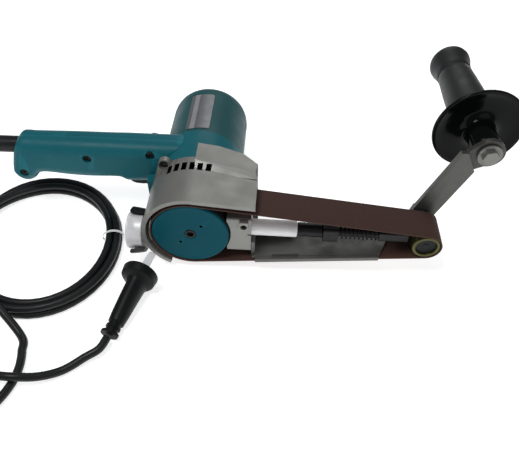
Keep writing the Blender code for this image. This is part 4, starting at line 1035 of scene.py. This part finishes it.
# where each turn of the coil lies in its bundle: outwards and up, in millimetres
COIL_LAYERS = ((3.9, 0.0), (-2.8, 0.0), (3.4, 6.3), (-3.1, 6.4), (0.2, 11.9))
FEED_ANGLE = math.radians(188.0)
TAIL_ANGLE = math.radians(244.0)
PER_TURN = 48
PER_GAP = 12
EASE_FROM = 0.72


def coil_point(angle, out):
    x = (COIL_SHORT + out) * math.cos(angle)
    y = (COIL_LONG + out) * math.sin(angle)
    cos, sin = math.cos(COIL_TURN), math.sin(COIL_TURN)
    return COIL_X + x * cos - y * sin, COIL_Y + x * sin + y * cos


def curved(points):
    """Catmull-Rom points through the given ones."""
    ends = [points[0] * 2 - points[1]] + points + [points[-1] * 2 - points[-2]]
    fine = []
    for i in range(1, len(ends) - 2):
        p0, p1, p2, p3 = ends[i - 1:i + 3]
        for k in range(PER_GAP):
            t = k / PER_GAP
            spot = 0.5 * ((2 * p1) + (p2 - p0) * t + (2 * p0 - 5 * p1 + 4 * p2 - p3) * t * t
                          + (3 * p1 - p0 - 3 * p2 + p3) * t * t * t)
            spot.z = max(spot.z, FLOOR_LINE)
            fine.append(spot)
    return fine + [points[-1]]


def lifted(route):
    """A route's points, with their heights counted from the pulley's centre."""
    return [Vector((x, y, FLOOR_LINE + up)) for x, y, up in route]


def coil_route():
    """Five turns, each easing into the next one's place in the bundle."""
    turns = len(COIL_LAYERS) - 1 + (TAIL_ANGLE - FEED_ANGLE) / (2 * math.pi)
    count = int(turns * PER_TURN)
    route = []
    for step in range(count + 1):
        along = turns * step / count
        number = min(int(along), len(COIL_LAYERS) - 1)
        following = min(number + 1, len(COIL_LAYERS) - 1)
        share = along - number
        ease = max(0.0, (share - EASE_FROM) / (1.0 - EASE_FROM))
        out, lift = mix(COIL_LAYERS[number], COIL_LAYERS[following], ease * ease * (3 - 2 * ease))
        angle = FEED_ANGLE + 2 * math.pi * along
        wander = 0.5 * math.sin(3 * angle + 2.1 * number)
        x, y = coil_point(angle, out + wander)
        route.append(Vector((x, y, FLOOR_LINE + max(0.0, lift))))
    return route


def whole_route():
    """Lead, coil and tail, eased into each other where they meet."""
    feed, coil, tail = curved(lifted(FEED_ROUTE)), coil_route(), curved(lifted(TAIL_ROUTE))
    first = curved([feed[-24], feed[-12], coil[3], coil[8]])
    last = curved([coil[-8], coil[-3], tail[14], tail[26]])
    return feed[:-24] + first + coil[9:-8] + last + tail[27:]


def build_cord():
    route = whole_route()
    curve = bpy.data.curves.new("mains_cord", "CURVE")
    curve.dimensions = "3D"
    curve.bevel_depth = CORD_RADIUS * MM
    curve.bevel_resolution = 5
    curve.use_fill_caps = True
    line = curve.splines.new("POLY")
    line.points.add(len(route) - 1)
    for spot, point in zip(line.points, route):
        spot.co = (*((point + BASE_SHIFT) * MM), 1.0)
    line.use_smooth = True
    cord = in_scene("mains_cord", curve)
    curve.materials.append(LOOKS["rubber"])
    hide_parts("cord_feed", "cord_coil", "cord_tail")
    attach(cord, "housing")
    return cord, route


TIE_AT = math.radians(-12.0)
TIE_SECTION = ((-0.018, 0.45), (-0.009, 0.8), (0.009, 0.8), (0.018, 0.45), (0.018, 0.2), (-0.018, 0.2))
TIE_STEPS = 40


def build_tie():
    """The twist tie goes over the coil and down both sides."""
    sections = []
    for step in range(TIE_STEPS + 1):
        turn = math.radians(-24 + 228 * step / TIE_STEPS)
        row = []
        for swing, grow in TIE_SECTION:
            out = (COIL_HALF_WIDTH + 0.6 + grow) * math.cos(turn)
            x, y = coil_point(TIE_AT + swing, out - 0.8)
            z = TABLE + COIL_HALF_HEIGHT + (COIL_HALF_HEIGHT + 0.9 + grow) * math.sin(turn)
            row.append((x, y, max(z, TABLE + 0.2)))
        sections.append(row)
    loft("cord_tie", sections, "white")


def build_strain_relief():
    """Tapered cord guard with moulded ribs at its thin end."""
    profile = [(3.5, -207.6), (4.3, -207.6), (4.8, -206.8)]
    for rib in range(5):
        x = -205.6 + 3.6 * rib
        radius = 5.2 + 0.42 * rib
        profile += [(radius, x), (radius + 0.1, x + 2.2), (radius - 0.7, x + 2.5), (radius - 0.7, x + 3.3)]
    profile += [(7.2, -187.2), (7.5, -180.0), (7.5, -156.9), (8.5, -156.9), (8.5, -154.4), (3.6, -154.4)]
    turned("strain_relief", profile, "rubber", along_x(HANDLE_Y, CORD_Z), MID, ring=True)


PLUG_START = Vector((-56.0, -78.8, TABLE + 6.6))
PLUG_SIDES = 56
PIN_TILT = math.radians(114.0)
PIN_SIDE = 6.35
PLUG_AXIS = Vector((0.27, 0.963, 0.0)).normalized()


def build_plug():
    side = Vector((0, 0, 1)).cross(PLUG_AXIS)
    up = PLUG_AXIS.cross(side)
    turn = Matrix((side, up, PLUG_AXIS)).transposed().to_4x4()
    place = Matrix.Translation(PLUG_START) @ turn
    # distance along the plug, half width, half height
    stations = ((0.6, 4.2, 4.2), (1.0, 7.4, 6.0), (3.2, 7.6, 6.0), (3.8, 5.0, 4.8), (6.4, 5.2, 5.0),
                (6.9, 6.2, 5.8), (8.8, 6.2, 5.8), (9.3, 5.3, 5.2), (11.6, 5.4, 5.4), (12.1, 6.6, 6.2),
                (20.0, 7.2, 7.6), (34.0, 7.7, 9.4), (46.0, 8.1, 10.6), (49.4, 9.0, 11.4), (51.0, 13.6, 13.8),
                (51.8, 14.6, 14.4), (57.6, 15.4, 15.0), (59.0, 15.0, 14.7), (59.8, 14.2, 14.0))
    sections = []
    for along, wide, high in stations:
        middle = max(0.0, TABLE + high + 0.1 - PLUG_START.z)
        row = []
        for k in range(PLUG_SIDES):
            a = 2 * math.pi * k / PLUG_SIDES
            row.append((wide * math.cos(a), middle + high * math.sin(a), along))
        sections.append(row)
    loft("plug_body", sections, "black_plastic", place)
    middle = TABLE + 15.1 - PLUG_START.z
    tilt = Matrix.Translation((0, middle, 0)) @ Matrix.Rotation(PIN_TILT, 4, "Z")
    for name, side in (("plug_pin_1", -PIN_SIDE), ("plug_pin_2", PIN_SIDE)):
        corners = [(side + x, y, along) for x in (-0.75, 0.75) for y in (-3.15, 3.15)
                   for along in (60.1, 75.6)]
        corners += [(side + x, y, 77.4) for x in (-0.3, 0.3) for y in (-2.3, 2.3)]
        hull(name, corners, "silver", place @ tilt)


# ---- camera, light and floor

CAMERA_LENS = 38.84
CAMERA_PLACE = (0.0418, -0.3969, 0.3781)
CAMERA_PITCH = math.radians(43.6)
CAMERA_TURN = math.radians(2.89)
LIGHT_TARGET = Vector((0.0, 0.0, 0.05))
# name, place in metres, width of the disc, watts
LIGHTS = (
    ("key", (-0.35, -0.25, 1.1), 0.5, 5.6),
    ("fill", (0.7, -0.8, 0.7), 0.9, 1.3),
    ("rim", (0.1, 0.9, 0.8), 0.7, 2.2),
)
WORLD_STRENGTH = 0.2
FLOOR_REACH = 4.0
FLOOR_DROP = -0.0002


def place_camera():
    camera = in_scene("camera", bpy.data.cameras.new("camera"))
    camera.data.sensor_width = 36.0
    camera.data.lens = CAMERA_LENS
    camera.data.clip_start = 0.01
    camera.location = CAMERA_PLACE
    camera.rotation_euler = (CAMERA_PITCH, 0.0, CAMERA_TURN)
    bpy.context.scene.camera = camera


def area_light(name, place, size, power):
    data = bpy.data.lights.new(name, "AREA")
    data.shape = "DISK"
    data.size = size
    data.energy = power
    light = in_scene(name, data)
    light.location = place
    light.rotation_euler = (LIGHT_TARGET - Vector(place)).to_track_quat("-Z", "Y").to_euler()


def build_stage():
    world = bpy.data.worlds.new("studio")
    world.use_nodes = True
    background = world.node_tree.nodes["Background"]
    background.inputs["Color"].default_value = (1.0, 1.0, 1.0, 1.0)
    background.inputs["Strength"].default_value = WORLD_STRENGTH
    bpy.context.scene.world = world
    bpy.context.scene.view_settings.view_transform = "Standard"
    for light in LIGHTS:
        area_light(*light)
    floor_mesh = bpy.data.meshes.new("floor")
    around = ((-1, -1), (1, -1), (1, 1), (-1, 1))
    corners = [(FLOOR_REACH * x, FLOOR_REACH * y, FLOOR_DROP) for x, y in around]
    floor_mesh.from_pydata(corners, [], [(0, 1, 2, 3)])
    floor = in_scene("floor", floor_mesh)
    paint = Paint("floor_paper", (0.93, 0.93, 0.93), 0.8)
    paint.bump(paint.noise(300.0, 3.0), 0.00001)
    paint.shader.inputs["Emission Color"].default_value = (1.0, 1.0, 1.0, 1.0)
    paint.shader.inputs["Emission Strength"].default_value = 0.72
    floor_mesh.materials.append(paint.done(paint.noise(5.0), 0.05))


def build_pieces():
    build_casting()
    build_casting_screw()
    build_dust_port()
    build_collar()
    build_housing()
    build_pulley()
    build_belt()
    build_holder()
    build_arm()
    build_strap()
    build_grip()
    build_handle()
    build_controls()
    build_nameplate()
    build_tie()
    build_strain_relief()
    build_plug()


def dress_pieces():
    for piece in list(bpy.context.scene.objects):
        if piece.name.endswith("_skin"):
            dress(piece, piece.name[:-len("_skin")])
    for look, nodes in KEPT_NODES.items():
        for node in nodes:
            paint_over(frame["nodes"][node], look)


def shorten_spring():
    """Gives the spring a mesh of its own."""
    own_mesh(bpy.data.objects["tension_spring_skin"])


place_camera()
cord, cord_line = build_cord()
build_stage()
build_pieces()
dress_pieces()
shorten_spring()
